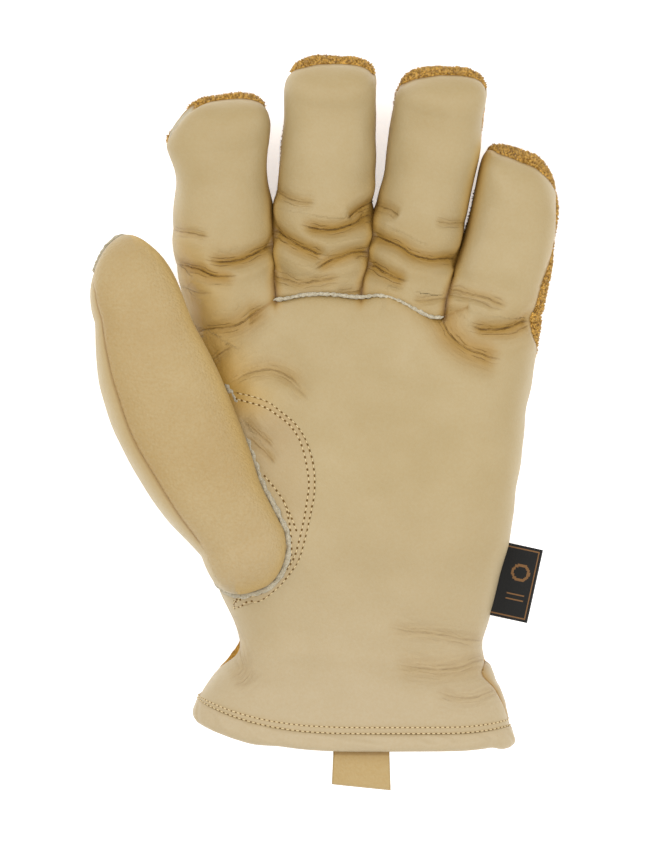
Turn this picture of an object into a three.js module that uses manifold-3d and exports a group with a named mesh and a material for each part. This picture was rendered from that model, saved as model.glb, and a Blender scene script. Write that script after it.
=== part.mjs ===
// Insulated leather work glove for the left hand, lying on its back with the palm up.
// Millimetres. +X runs to the little finger's side, +Y to the fingertips, +Z up out of the palm.
// The origin is on the surface that the glove rests on, under the back of the hand.

import * as THREE from "three";
import { mergeVertices } from "three/addons/utils/BufferGeometryUtils.js";
import Module from "manifold-3d";

const wasm = await Module();
wasm.setup();

// Driving dimensions
const WALL = 3.0; // leather with its insulation
const LEATHER = 1.0; // one layer of leather, with no insulation behind it
const SEAM_GAP = 0.5; // clear space between two panels at a seam
const WELT = 0.95; // half the thickness of a raw leather edge that stands in a seam
const WELT_GAP = 2 * (WELT + 0.35); // space between two panels for a raw edge
const FACE_GAP = 0.4; // a piece that lies on another one
const MOUTH = -125.4; // the cuff's lower edge
const HEM_TOP = -118.6; // where the rolled hem meets the panels
const HEM_WALL = 4.6; // the hem is folded double
const WAIST = -87; // the elastic line, where the suede back meets the cuff's own leather
const PLEAT = { count: 9, depth: 1.3, reach: 17 };

// A table with named columns: one row for each section or fold.
const table = (columns, rows) => {
  const names = columns.split(" ");
  return rows.map((row) => Object.fromEntries(names.map((name, i) => [name, row[i]])));
};

// Each limb is a tube of oval sections along an axis that leans in plan from its root.
// left and right are its sides, back, middle and front its heights, and the seam columns say how high
// the seam between front and back lies, as a share of the depth in front of the middle.
const SECTION = "along left right back middle front seamLeft seamRight";

const palm = {
  root: [0, 0],
  lean: 0,
  creased: [-104, -62],
  square: 2.7,
  tip: { length: 16, left: 6, right: 6, side: 2.4 },
  rows: table(SECTION, [
    [-132.0, -50.5, 72.5, -1.0, 22, 43.0, 0.1, 0.1],
    [-125.4, -50.5, 72.5, -1.0, 22, 43.0, 0.1, 0.1],
    [-114.0, -49.5, 71.0, -1.0, 21, 42.5, 0.2, 0.2],
    [-102.0, -46.0, 67.8, -0.6, 20, 41.5, 0.45, 0.4],
    [-94.0, -40.5, 64.0, 1.0, 19, 40.0, 0.5, 0.45],
    [-86.0, -35.5, 60.3, 3.6, 19, 38.5, 0.35, 0.3],
    [-76.0, -35.5, 62.5, 1.6, 19, 39.5, 0.1, 0.1],
    [-62.0, -40.5, 66.5, -0.8, 20, 42.0, 0.05, 0.05],
    [-42.0, -44.5, 70.8, -1.8, 21, 45.0, 0.05, 0.05],
    [-18.0, -47.0, 73.8, -2.0, 21, 46.5, 0.05, 0.05],
    [6.0, -49.0, 77.2, -2.0, 21, 45.5, 0.05, 0.1],
    [26.0, -50.0, 80.5, -1.8, 20, 42.5, 0.05, 0.3],
    [41.0, -50.5, 81.5, -1.4, 19, 40.5, 0.05, 0.45],
  ]),
  folds: [],
};

const index = {
  root: [-36.5, 38.8],
  lean: -2.5,
  creased: [12, 40],
  square: 2.5,
  bend: { start: 16, radius: 165, middle: 17 },
  tip: { length: 20.5, left: 1.75, right: 3.6, side: 2.2 },
  rows: table(SECTION, [
    [-20.0, -11.0, 12.5, 4.0, 16, 27.0, 0.1, 0.1],
    [-6.0, -13.2, 15.4, 0.2, 17, 33.5, 0.1, 0.1],
    [4.0, -15.0, 16.4, -1.0, 17, 38.5, 0.1, 0.1],
    [14.0, -17.9, 17.4, -1.0, 17, 39.5, 0.1, 0.1],
    [27.0, -20.0, 18.0, -0.6, 17, 39.0, 0.1, 0.1],
    [42.0, -19.1, 17.9, 0.6, 17, 37.0, 0.1, 0.1],
    [58.0, -18.6, 17.5, 2.0, 17, 34.5, 0.15, 0.15],
    [69.0, -19.8, 18.3, 3.2, 17, 32.5, 0.25, 0.25],
  ]),
  folds: table("fromAlong fromLateral toAlong toLateral sag depth reach", [
    [23.6, -7.0, 29.0, 19.0, -1.2, 2.4, 4.6],
    [21.6, -20.0, 16.9, 5.0, -1.2, 1.8, 4.2],
    [36.2, -20.0, 34.0, -5.0, 0.0, 0.8, 3.0],
  ]),
};

const middle = {
  root: [-2.7, 47.9],
  lean: 3.6,
  creased: [2, 38],
  square: 2.5,
  bend: { start: 18, radius: 165, middle: 18 },
  tip: { length: 17.5, left: 3.4, right: 2.5, side: 2.2 },
  rows: table(SECTION, [
    [-24.0, -14.0, 13.6, 3.0, 17, 28.0, 0.1, 0.1],
    [-5.0, -15.8, 15.4, -0.5, 18, 37.0, 0.1, 0.1],
    [5.0, -16.5, 16.3, -1.0, 18, 39.5, 0.1, 0.1],
    [15.0, -17.0, 17.6, -1.0, 18, 40.5, 0.1, 0.1],
    [26.0, -17.9, 18.2, -0.6, 18, 40.0, 0.1, 0.1],
    [38.0, -18.6, 18.2, 0.4, 18, 38.5, 0.1, 0.1],
    [52.0, -18.2, 17.9, 1.8, 18, 36.5, 0.15, 0.1],
    [66.0, -16.9, 17.5, 3.4, 18, 35.0, 0.2, 0.15],
    [77.0, -17.8, 17.3, 4.6, 18, 33.5, 0.25, 0.25],
  ]),
  folds: table("fromAlong fromLateral toAlong toLateral sag depth reach", [
    [27.0, -9.0, 33.0, 18.5, -2.4, 2.4, 4.6],
    [25.5, -19.0, 15.3, 4.0, -1.2, 2.2, 4.4],
    [9.0, -2.5, 18.5, 18.5, 1.2, 1.6, 4.0],
    [7.4, -17.0, 7.0, 9.0, -1.6, 1.4, 3.6],
  ]),
};

const ring = {
  root: [29.6, 44.5],
  lean: 9.8,
  creased: [4, 40],
  square: 2.5,
  bend: { start: 18, radius: 165, middle: 18 },
  tip: { length: 19.0, left: 2.3, right: 2.9, side: 2.2 },
  rows: table(SECTION, [
    [-22.0, -13.5, 12.0, 3.0, 17, 28.0, 0.1, 0.1],
    [-5.0, -15.4, 13.6, -0.5, 18, 36.5, 0.1, 0.1],
    [4.0, -15.6, 13.6, -1.0, 18, 39.5, 0.1, 0.1],
    [14.0, -15.7, 14.9, -1.0, 18, 40.5, 0.1, 0.1],
    [25.0, -16.1, 16.7, -0.6, 18, 39.5, 0.1, 0.1],
    [37.0, -16.1, 17.9, 0.4, 18, 38.0, 0.1, 0.1],
    [51.0, -15.9, 17.9, 1.8, 18, 36.0, 0.1, 0.1],
    [66.0, -16.7, 17.7, 3.4, 18, 34.5, 0.15, 0.15],
    [78.0, -16.9, 18.3, 4.6, 18, 33.0, 0.25, 0.25],
  ]),
  folds: table("fromAlong fromLateral toAlong toLateral sag depth reach", [
    [24.8, -17.0, 20.8, 17.0, -2.8, 2.0, 4.4],
    [12.9, -16.5, 8.8, 0.0, -0.6, 1.8, 4.2],
    [34.8, 5.0, 35.9, 18.5, 0.0, 0.8, 3.0],
  ]),
};

const little = {
  root: [61.9, 38.0],
  lean: 12,
  creased: [-10, 18],
  square: 2.5,
  bend: { start: 16, radius: 150, middle: 16 },
  tip: { length: 22.5, left: 5, right: 1.85, side: 2.2 },
  rows: table(SECTION, [
    [-20.0, -12.5, 14.0, 4.0, 16, 27.0, 0.1, 0.3],
    [-6.0, -15.6, 18.4, 0.2, 16, 34.0, 0.1, 0.55],
    [4.0, -17.9, 19.1, -0.8, 16, 38.5, 0.1, 0.62],
    [12.0, -17.4, 18.8, -0.8, 16, 38.5, 0.1, 0.5],
    [22.0, -15.7, 18.9, -0.4, 16, 36.5, 0.1, 0.3],
    [34.0, -15.5, 18.9, 0.8, 16, 34.5, 0.1, 0.25],
    [46.0, -15.2, 18.4, 2.2, 16, 32.5, 0.2, 0.3],
  ]),
  folds: table("fromAlong fromLateral toAlong toLateral sag depth reach", [
    [-3.3, -9.0, 5.2, 19.0, -2.2, 2.4, 4.6],
    [9.4, -18.5, 6.8, 8.0, 0.4, 1.3, 4.0],
  ]),
};

const thumb = {
  root: [-32.3, -66.9],
  lean: -18.5,
  square: 2.4,
  base: { start: 20, length: 19, left: 2.6, right: 1.9, side: 2.2 },
  tip: { length: 29, left: 1.9, right: 1.65, side: 2.2 },
  rows: table(SECTION, [
    [20.0, -9.6, 25.4, 20.0, 37.5, 53.5, 0.72, -0.1],
    [30.0, -14.2, 23.6, 19.5, 38.0, 56.0, 0.8, -0.1],
    [40.0, -18.0, 22.2, 19.5, 39.0, 58.5, 0.85, -0.1],
    [54.0, -21.8, 22.0, 21.0, 41.0, 61.0, 0.86, -0.1],
    [72.0, -25.3, 21.5, 24.0, 43.5, 63.0, 0.84, -0.1],
    [90.0, -25.6, 19.3, 28.0, 46.5, 65.0, 0.83, -0.1],
    [104.0, -23.5, 17.2, 31.5, 48.5, 65.5, 0.79, -0.1],
    [116.0, -20.4, 16.3, 34.5, 50.0, 65.5, 0.7, -0.1],
  ]),
  folds: [],
};

// The raw-edged seam under the middle and ring fingers, and the one round the root of the thumb.
const fingerSeam = table("x y z", [
  [-19.6, 46.0, 38.0], [-16.0, 46.5, 38.1], [-9.0, 47.9, 38.6], [2.0, 48.3, 38.9], [13.7, 47.2, 39.0],
  [21.0, 47.9, 38.8], [28.5, 45.4, 39.4], [36.0, 41.6, 39.6], [40.6, 39.7, 39.6], [43.6, 39.6, 39.4],
]);
const thumbSeam = table("x y z", [
  [-29.2, -4.4, 43.7], [-25.8, -17.1, 44.6], [-22.3, -25.3, 45.1], [-18.8, -32.3, 45.5], [-15.3, -38.0, 45.4],
  [-14.0, -43.3, 45.0], [-14.6, -49.0, 44.1], [-17.0, -54.4, 42.9], [-20.5, -58.6, 41.5], [-25.8, -62.0, 39.6],
  [-31.6, -65.0, 36.6], [-36.4, -65.7, 32.6],
]);

// Lines in plan between the fingers. The two middle fingers' own fronts lie between the outer two.
const indexToMiddleFront = table("x y", [[-21.0, 49.0], [-21.0, 60.0], [-20.4, 80.0], [-17.5, 104.0], [-14.0, 150.0]]);
const indexToMiddle = table("x y", [[-19.4, 36.0], [-19.4, 66.0], [-19.7, 80.0], [-19.0, 104.0], [-14.0, 150.0]]);
const middleToRing = table("x y", [[14.6, 36.0], [16.2, 64.0], [22.0, 150.0]]);
const ringToLittle = table("x y", [
  [42.6, 36.0], [44.6, 46.0], [46.4, 54.0], [49.4, 63.0], [53.4, 75.0], [57.5, 92.0], [61.0, 150.0],
]);

// The line across the roots of the fingers where their suede backs are sewn to the hand's.
const knuckles = table("x y", [[-80, 38], [-38, 48], [-8, 55], [26, 55], [56, 48], [110, 34]]);

// The curved edge of the leather patch that backs the thumb's root, in plan.
const patchEdge = table("x y", [
  [-40.0, 12.5], [-33.0, 11.2], [-26.8, 9.6], [-20.8, 7.4], [-16.2, 4.0], [-12.0, 0.8], [-8.6, -3.8],
  [-6.2, -9.0], [-4.4, -15.4], [-3.8, -23.6], [-4.3, -29.4], [-5.6, -36.4], [-7.4, -43.4],
  [-9.8, -51.6], [-13.8, -58.2], [-18.4, -62.8], [-23.0, -66.4], [-28.8, -68.6], [-34.0, -70.2], [-41.0, -70.6],
]);

const LABEL = { height: 28.5, width: 13.8, thick: 0.5, slot: 0.3, tucked: 1.8, x: 66.6, y: -59.6, z: 21.6, lean: 12.3 };
const TAB = { width: 21.2, reach: 14.2, tucked: 8.0, thick: 1.1, slot: 0.9, x: 13.7, z: 36.6 };

// Numbers along a table, joined by a smooth curve through its rows.
function track(rows, column, at) {
  const last = rows.length - 1;
  if (at <= rows[0].along) return rows[0][column];
  if (at >= rows[last].along) return rows[last][column];
  const i = rows.findIndex((row) => row.along > at) - 1;
  const slope = (k) => {
    const [a, b] = [rows[Math.max(k - 1, 0)], rows[Math.min(k + 1, last)]];
    return (b[column] - a[column]) / (b.along - a.along);
  };
  const step = rows[i + 1].along - rows[i].along;
  const t = (at - rows[i].along) / step;
  const [t2, t3] = [t * t, t * t * t];
  return (2 * t3 - 3 * t2 + 1) * rows[i][column] + (t3 - 2 * t2 + t) * step * slope(i) +
    (3 * t2 - 2 * t3) * rows[i + 1][column] + (t3 - t2) * step * slope(i + 1);
}

const rounded = (t, power) => Math.pow(Math.max(0, 1 - Math.pow(t, power)), 1 / power);
const signedPower = (value, power) => Math.sign(value) * Math.pow(Math.abs(value), power);
const tipStart = (limb) => limb.tipStart ?? limb.rows[limb.rows.length - 1].along;

// The oval of a limb at one place along it, grown outwards or shrunk inwards.
function sectionAt(limb, along, grow) {
  const at = (column) => track(limb.rows, column, along);
  const section = {
    left: at("left") - grow, right: at("right") + grow,
    back: at("back") - grow, middle: at("middle"), front: at("front") + grow,
    seamLeft: at("seamLeft"), seamRight: at("seamRight"),
  };
  const ends = [[limb.tip, along - tipStart(limb)]];
  if (limb.base) ends.push([limb.base, limb.base.start - along]);
  for (const [end, past] of ends) {
    if (past <= 0) continue;
    const t = Math.min(1, past / (end.length + grow));
    section.left *= rounded(t, end.left);
    section.right *= rounded(t, end.right);
    const side = rounded(t, end.side);
    section.back = section.middle + (section.back - section.middle) * side;
    section.front = section.middle + (section.front - section.middle) * side;
  }
  return section;
}

// How deep the folds press into the front of a limb at one place.
function foldDepth(limb, along, lateral) {
  let deepest = 0;
  for (const fold of limb.folds) {
    const span = fold.toLateral - fold.fromLateral;
    const t = (lateral - fold.fromLateral) / span;
    const over = Math.max(0, -t, t - 1) * Math.abs(span);
    const line = fold.fromAlong + (fold.toAlong - fold.fromAlong) * t + 4 * fold.sag * t * (1 - t);
    const away = Math.hypot(along - line, over);
    const share = Math.max(0, 1 - away / fold.reach);
    deepest = Math.max(deepest, fold.depth * share * share);
  }
  return deepest;
}

// The elastic at the waist draws the back into pleats that run up and down.
function pleatDepth(turn, along) {
  const fade = Math.max(0, 1 - Math.abs(along - WAIST) / PLEAT.reach);
  return (PLEAT.depth * fade * (1 - Math.cos(2 * PLEAT.count * turn))) / 2;
}

// The cuff's edge is drawn up at both side seams.
function cuffLift(x, along) {
  const fade = THREE.MathUtils.smoothstep(-along, -WAIST, -MOUTH);
  const atThumb = 17 * Math.pow(Math.max(0, (-20 - x) / 31), 1.9);
  const atLittle = 4 * Math.pow(Math.max(0, (x - 50) / 22), 2);
  return fade * (atThumb + atLittle);
}

// A place on a limb's axis, side and height, in the glove's own frame.
function place(limb, along, lateral, height, floor) {
  let [s, z] = [along, height];
  if (limb.bend && along > limb.bend.start) {
    const { start, radius, middle: axis } = limb.bend;
    const turn = (along - start) / radius;
    const arm = radius - (height - axis);
    s = start + arm * Math.sin(turn);
    z = axis + radius - arm * Math.cos(turn);
  }
  const lean = THREE.MathUtils.degToRad(limb.lean);
  const x = limb.root[0] + s * Math.sin(lean) + lateral * Math.cos(lean);
  let y = limb.root[1] + s * Math.cos(lean) - lateral * Math.sin(lean);
  if (limb === palm) y += cuffLift(x, along);
  return new THREE.Vector3(x, y, Math.max(z, floor));
}

// One point of a limb's skin. The turn is 0 at the right side and a quarter turn at the front.
// The skin lies flat where it would reach below its floor.
function skinPoint(limb, along, turn, { grow = 0, floor = -grow, plain = false }) {
  const s = sectionAt(limb, along, grow);
  const power = 2 / limb.square;
  const centre = (s.left + s.right) / 2;
  const lateral = centre + ((s.right - s.left) / 2) * signedPower(Math.cos(turn), power);
  const rise = signedPower(Math.sin(turn), power);
  let height = s.middle + rise * (rise > 0 ? s.front - s.middle : s.middle - s.back);
  if (!plain && rise > 0) height -= rise * foldDepth(limb, along, lateral);
  if (!plain && rise < 0 && limb === palm) height -= rise * pleatDepth(turn, along);
  return place(limb, along, lateral, height, floor);
}

// A closed shape through rings of points, with a fan over each end.
function loft(rings) {
  const [count, size] = [rings.length, rings[0].length];
  const points = rings.flat();
  const faces = [];
  for (let r = 0; r < count - 1; r++)
    for (let i = 0; i < size; i++) {
      const j = (i + 1) % size;
      const [a, b, c, d] = [r * size + i, r * size + j, (r + 1) * size + i, (r + 1) * size + j];
      faces.push(a, c, b, b, c, d);
    }
  for (const [r, flip] of [[0, false], [count - 1, true]]) {
    const middlePoint = rings[r].reduce((sum, p) => sum.add(p), new THREE.Vector3()).divideScalar(size);
    points.push(middlePoint);
    for (let i = 0; i < size; i++) {
      const [a, b] = [r * size + i, r * size + ((i + 1) % size)];
      faces.push(points.length - 1, flip ? b : a, flip ? a : b);
    }
  }
  const geometry = new THREE.BufferGeometry().setFromPoints(points);
  geometry.setIndex(faces);
  return geometry;
}

// A three.js shape as a solid that can be cut and joined.
function solid(geometry) {
  const bare = geometry.clone();
  for (const name of ["normal", "uv"]) bare.deleteAttribute(name);
  const merged = mergeVertices(bare, 1e-4);
  const made = new wasm.Manifold(new wasm.Mesh({
    numProp: 3,
    vertProperties: merged.attributes.position.array,
    triVerts: new Uint32Array(merged.index.array),
  }));
  return made;
}

// How far apart a tube's rings lie, where it is creased and elsewhere, and how many sides it has.
const HAND_DETAIL = { fine: 8.6, coarse: 17, front: 14, back: 2 * PLEAT.count };
const FINGER_DETAIL = { fine: 5, coarse: 17, front: 10, back: 5 };
const THUMB_DETAIL = { fine: 12, coarse: 12, front: 10, back: 6 };
const INSIDE_DETAIL = { fine: 24, coarse: 24, front: 5, back: 4 };
const END_STEPS = [0.45, 0.8, 0.97];

// Places along a limb where its rings lie, closer together over its creases and its rounded ends.
function ringPlaces(limb, from, detail, grow) {
  const start = tipStart(limb);
  const [low, high] = limb.creased ?? [0, 0];
  const places = [];
  let at = from;
  while (at < start - detail.fine / 2) {
    places.push(at);
    at += at >= low && at < high ? detail.fine : detail.coarse;
  }
  const tip = [0, ...END_STEPS].map((t) => start + t * (limb.tip.length + grow));
  const base = limb.base ? END_STEPS.map((t) => limb.base.start - t * (limb.base.length + grow)) : [];
  return [...base.reverse(), ...places, ...tip];
}

const firstPlace = (limb) => limb.base?.start ?? limb.rows[0].along;

// The turns at which a section has its corners.
function turnsOf(detail) {
  const half = (count) => Array.from({ length: count }, (_, i) => (Math.PI * i) / count);
  return [...half(detail.front), ...half(detail.back).map((turn) => turn + Math.PI)];
}

// The whole tube of a limb as a solid.
function tube(limb, detail, { from = firstPlace(limb), grow = 0, plain = false } = {}) {
  const turns = turnsOf(detail);
  const rings = ringPlaces(limb, from, detail, grow).map((along) =>
    turns.map((turn) => skinPoint(limb, along, turn, { grow, plain })));
  return solid(loft(rings));
}

// The space in front of a limb's two side seams.
function frontSpace(limb, detail) {
  const [grow, steps] = [4, 8];
  const rings = ringPlaces(limb, firstPlace(limb), detail, grow).map((along) => {
    const s = sectionAt(limb, along, 0);
    const angle = (level) => Math.asin(signedPower(level, limb.square / 2));
    const [right, left] = [angle(s.seamRight), Math.PI - angle(s.seamLeft)];
    return Array.from({ length: steps + 1 }, (_, i) => {
      const turn = right + ((left - right) * i) / steps;
      return skinPoint(limb, along, turn, { grow, plain: true });
    });
  });
  return solid(loft(rings));
}

const union = (solids) => solids.reduce((all, one) => all.add(one));

// A straight-sided solid over an outline in plan.
function prism(outline, low, high) {
  const shape = new THREE.Shape(outline.map(({ x, y }) => new THREE.Vector2(x, y)));
  const geometry = new THREE.ExtrudeGeometry(shape, { depth: high - low, bevelEnabled: false });
  return solid(geometry.translate(0, 0, low));
}

// Points along a smooth curve through a table's rows, moved to the curve's left by an offset.
function curveInPlan(rows, count, offset = 0, [from, to] = [0, 1]) {
  const curve = new THREE.CatmullRomCurve3(rows.map(({ x, y, z = 0 }) => new THREE.Vector3(x, y, z)));
  return Array.from({ length: count + 1 }, (_, i) => {
    const at = from + ((to - from) * i) / count;
    const [p, d] = [curve.getPointAt(at), curve.getTangentAt(at)];
    return new THREE.Vector3(p.x - d.y * offset, p.y + d.x * offset, p.z);
  });
}

// A raw leather edge, rolled round, that stands along a seam.
function rawEdge(rows, count, offset) {
  const path = new THREE.CatmullRomCurve3(curveInPlan(rows, count, offset, [0.03, 0.97]));
  const round = new THREE.Shape().absarc(0, 0, WELT, 0, 2 * Math.PI);
  return solid(new THREE.ExtrudeGeometry(round, { steps: count, curveSegments: 3, extrudePath: path }));
}

// A strip folded in two, with its fold at the far end of its profile.
function foldedStrip(length, width, thick, slot) {
  const [outer, inner] = [slot / 2 + thick, slot / 2];
  const profile = new THREE.Shape();
  profile.moveTo(0, -outer);
  profile.lineTo(length - outer, -outer);
  profile.absarc(length - outer, 0, outer, -Math.PI / 2, Math.PI / 2);
  profile.lineTo(0, outer);
  profile.lineTo(0, inner);
  profile.lineTo(length - outer, inner);
  profile.absarc(length - outer, 0, inner, Math.PI / 2, -Math.PI / 2, true);
  profile.lineTo(0, -inner);
  const geometry = new THREE.ExtrudeGeometry(profile, { depth: width, bevelEnabled: false, curveSegments: 4 });
  return geometry.translate(0, 0, -width / 2).rotateX(Math.PI / 2);
}

// Whole outer forms, and the hollow inside them
const palmForm = tube(palm, HAND_DETAIL, { from: HEM_TOP + SEAM_GAP });
const fingers = [index, middle, ring, little];
const formOf = new Map(fingers.map((limb) => [limb, tube(limb, FINGER_DETAIL)]));
const thumbForm = tube(thumb, THUMB_DETAIL);
const hollow = union([
  tube(palm, INSIDE_DETAIL, { from: MOUTH - 6, grow: -WALL, plain: true }),
  ...[...fingers, thumb].map((limb) => tube(limb, INSIDE_DETAIL, { grow: -WALL, plain: true })),
]);

// Clear space round the parts that others lie on
const handClear = union([
  tube(palm, HAND_DETAIL, { grow: FACE_GAP }),
  tube(index, FINGER_DETAIL, { grow: FACE_GAP, plain: true }),
]);
const thumbClear = tube(thumb, THUMB_DETAIL, { grow: FACE_GAP });

// The space in front of the side seams, all round the hand and round the thumb
const handFront = union([
  frontSpace(palm, HAND_DETAIL),
  ...fingers.map((limb) => frontSpace(limb, FINGER_DETAIL)),
]);
const thumbFront = frontSpace(thumb, THUMB_DETAIL);

// The same space with the gap that the seams leave behind it
const withSeamGap = (space) => union(table("x y", [[0, 0], [-1, -1], [-1, 1], [1, -1], [1, 1]])
  .map(({ x, y }) => space.translate(x * SEAM_GAP, y * SEAM_GAP, x ? -SEAM_GAP : 0)));

const shifted = (rows, across, up = 0) => rows.map(({ x, y }) => ({ x: x + across, y: y + up }));

// Where the middle and ring fingers have their own front panels, above the raw-edged seam
function middleFingersZone(offset) {
  const seam = curveInPlan(fingerSeam, 20, offset);
  const inset = Math.min(offset, SEAM_GAP);
  const right = shifted(ringToLittle.filter(({ y }) => y >= seam[seam.length - 1].y + offset), -inset);
  return prism([...seam, ...right, ...shifted(indexToMiddleFront, inset).reverse()], 5, 90);
}

// Everything on one side of a line that runs up between two fingers
function beside(line, side) {
  const far = shifted(line, side * 200).reverse();
  return prism([...shifted(line, (side * SEAM_GAP) / 2), ...far], -5, 90);
}

// Everything beyond the line across the knuckles
function beyondKnuckles(offset) {
  return prism([...shifted(knuckles, 0, offset), ...shifted(knuckles, 0, 200).reverse()], -5, 90);
}

// The cuff's back lies below a slanting line at the waist.
function cuffZone(offset) {
  const corners = table("x y", [
    [-75, -105 - offset], [-75, -160], [110, -160], [110, -86 - offset],
  ]);
  return prism(corners, -5, 60);
}

function hemForm() {
  const turns = turnsOf(HAND_DETAIL);
  const skin = (rows, floor) => solid(loft(rows.map(({ along, grow }) =>
    turns.map((turn) => skinPoint(palm, along, turn, { grow, floor, plain: true })))));
  const outside = skin(table("along grow", [
    [MOUTH, -1.2], [MOUTH + 0.8, 0.2], [MOUTH + 2.4, 0.8], [HEM_TOP - 1.0, 0.8], [HEM_TOP - 0.1, 0.1],
  ]), 0);
  const inner = 0.8 - HEM_WALL;
  const mouth = skin(table("along grow", [
    [MOUTH - 6, inner + 1.2], [MOUTH, inner + 1.2], [MOUTH + 1.4, inner], [HEM_TOP, inner], [HEM_TOP + 6, inner],
  ]), HEM_WALL);
  return outside.subtract(mouth);
}

function patchForm() {
  const crescent = prism([
    ...curveInPlan(patchEdge, 24, 1.0),
    ...curveInPlan(thumbSeam, 16, 2 * WELT + FACE_GAP).reverse(),
  ], 27, 60);
  const over = (grow) => tube(palm, HAND_DETAIL, { grow });
  return over(FACE_GAP + LEATHER).subtract(over(FACE_GAP)).intersect(crescent).subtract(thumbClear);
}

function labelForms() {
  const turn = THREE.MathUtils.degToRad(-LABEL.lean);
  const put = (geometry) => solid(geometry
    .rotateZ(turn)
    .translate(LABEL.x, LABEL.y, LABEL.z));
  const strip = foldedStrip(LABEL.width + LABEL.tucked, LABEL.height, LABEL.thick, LABEL.slot);
  const across = LABEL.tucked + FACE_GAP;
  const clear = new THREE.BoxGeometry(
    across * 2, LABEL.height + 2 * FACE_GAP, 2 * LABEL.thick + LABEL.slot + 2 * FACE_GAP);
  return { label: put(strip.translate(-LABEL.tucked, 0, 0)), slit: put(clear) };
}

function tabForm() {
  const strip = foldedStrip(TAB.reach + TAB.tucked, TAB.width, TAB.thick, TAB.slot);
  return solid(strip.rotateZ(-Math.PI / 2).translate(TAB.x, MOUTH + TAB.tucked, TAB.z));
}

// Panels cut from the forms
const { label, slit } = labelForms();
const palmPanel = union([palmForm, formOf.get(index), formOf.get(little)])
  .intersect(handFront).subtract(hollow).subtract(middleFingersZone(0)).subtract(slit);
const fingerPanel = (limb, side) => union([palmForm, formOf.get(limb)])
  .intersect(handFront).subtract(hollow).intersect(middleFingersZone(WELT_GAP))
  .intersect(beside(middleToRing, side));
const behindFront = withSeamGap(handFront);
const handBack = union([palmForm, ...formOf.values()])
  .subtract(hollow).subtract(behindFront).subtract(slit).subtract(beyondKnuckles(0));
const fingerBack = (limb, sides) => sides.reduce(
  (shape, [line, side]) => shape.intersect(beside(line, side)),
  union([palmForm, formOf.get(limb)]).subtract(hollow).subtract(behindFront).intersect(beyondKnuckles(SEAM_GAP)));
const thumbShell = thumbForm.subtract(hollow).subtract(handClear);

const creamLeather = new THREE.MeshStandardMaterial({ color: 0xd2bb8c, roughness: 0.55 });
const suede = new THREE.MeshStandardMaterial({ color: 0xb47f3a, roughness: 0.95 });
const rawLeather = new THREE.MeshStandardMaterial({ color: 0xbfb8a8, roughness: 0.9 });
const wovenTape = new THREE.MeshStandardMaterial({ color: 0x16140f, roughness: 0.8 });

const glove = new THREE.Group();

function addPiece(name, form, material) {
  const { vertProperties, triVerts } = form.getMesh();
  const geometry = new THREE.BufferGeometry();
  geometry.setAttribute("position", new THREE.BufferAttribute(vertProperties, 3));
  geometry.setIndex(new THREE.BufferAttribute(triVerts, 1));
  const mesh = new THREE.Mesh(geometry, material);
  mesh.name = name;
  glove.add(mesh);
}

addPiece("palm_panel", palmPanel, creamLeather);
addPiece("middle_finger_front", fingerPanel(middle, -1), creamLeather);
addPiece("ring_finger_front", fingerPanel(ring, 1), creamLeather);
addPiece("back_panel", handBack.subtract(cuffZone(0)), suede);
addPiece("index_back", fingerBack(index, [[indexToMiddle, -1]]), suede);
addPiece("middle_back", fingerBack(middle, [[indexToMiddle, 1], [middleToRing, -1]]), suede);
addPiece("ring_back", fingerBack(ring, [[middleToRing, 1], [ringToLittle, -1]]), suede);
addPiece("little_back", fingerBack(little, [[ringToLittle, 1]]), suede);
addPiece("cuff_back", handBack.intersect(cuffZone(SEAM_GAP)), creamLeather);
addPiece("thumb_front", thumbShell.intersect(thumbFront), creamLeather);
addPiece("thumb_back", thumbShell.subtract(withSeamGap(thumbFront)), creamLeather);
addPiece("thumb_patch", patchForm(), creamLeather);
addPiece("finger_welt", rawEdge(fingerSeam, 20, WELT_GAP / 2), rawLeather);
addPiece("thumb_welt", rawEdge(thumbSeam, 20, WELT / 2).subtract(thumbClear), rawLeather);
addPiece("cuff_hem", hemForm(), creamLeather);
addPiece("side_label", label, wovenTape);
addPiece("hang_tab", tabForm(), creamLeather);

export default glove;
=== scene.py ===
"""The looks of an insulated leather work glove for the left hand, lying on its back, palm up.

The glove is worked out in millimetres from the same limbs as its frame: a palm, four fingers and a thumb,
each a tube of oval sections. Every limb is a distance field, the fields are blended where the limbs meet,
a skin is drawn over them, and the skin is cut into panels along the seams.
"""

import math
from collections import namedtuple

import bpy
import numpy as np
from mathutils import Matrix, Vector
from mathutils.bvhtree import BVHTree


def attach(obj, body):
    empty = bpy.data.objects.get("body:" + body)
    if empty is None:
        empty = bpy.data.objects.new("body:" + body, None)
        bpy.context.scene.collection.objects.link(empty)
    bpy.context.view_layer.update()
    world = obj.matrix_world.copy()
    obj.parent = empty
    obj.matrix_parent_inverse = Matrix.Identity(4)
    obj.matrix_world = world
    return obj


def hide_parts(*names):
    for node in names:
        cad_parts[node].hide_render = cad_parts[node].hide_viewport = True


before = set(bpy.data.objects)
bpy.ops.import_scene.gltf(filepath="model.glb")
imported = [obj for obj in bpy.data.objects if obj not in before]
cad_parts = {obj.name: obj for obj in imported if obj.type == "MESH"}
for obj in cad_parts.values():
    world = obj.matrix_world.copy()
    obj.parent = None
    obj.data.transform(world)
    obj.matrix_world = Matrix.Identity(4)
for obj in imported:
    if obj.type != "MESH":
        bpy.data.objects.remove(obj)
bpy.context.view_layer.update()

MM = 0.001
# The padded leather's thickness
WALL = 2.6
# The places of the cuff's edge, the hem's upper edge and the elastic, along the hand
MOUTH = -125.4
HEM_TOP = -117.1
WAIST = -87.0
FLOOR_SOFTNESS = 2.5
JOIN_RADIUS = 7.0
# From this share of its half-width outwards a place counts as lying at a limb's side
AT_SIDE = 0.88
# How square a tube's seams turn round its tip
SEAM_ROUNDING = 2.2
TINY = 1e-9
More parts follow.
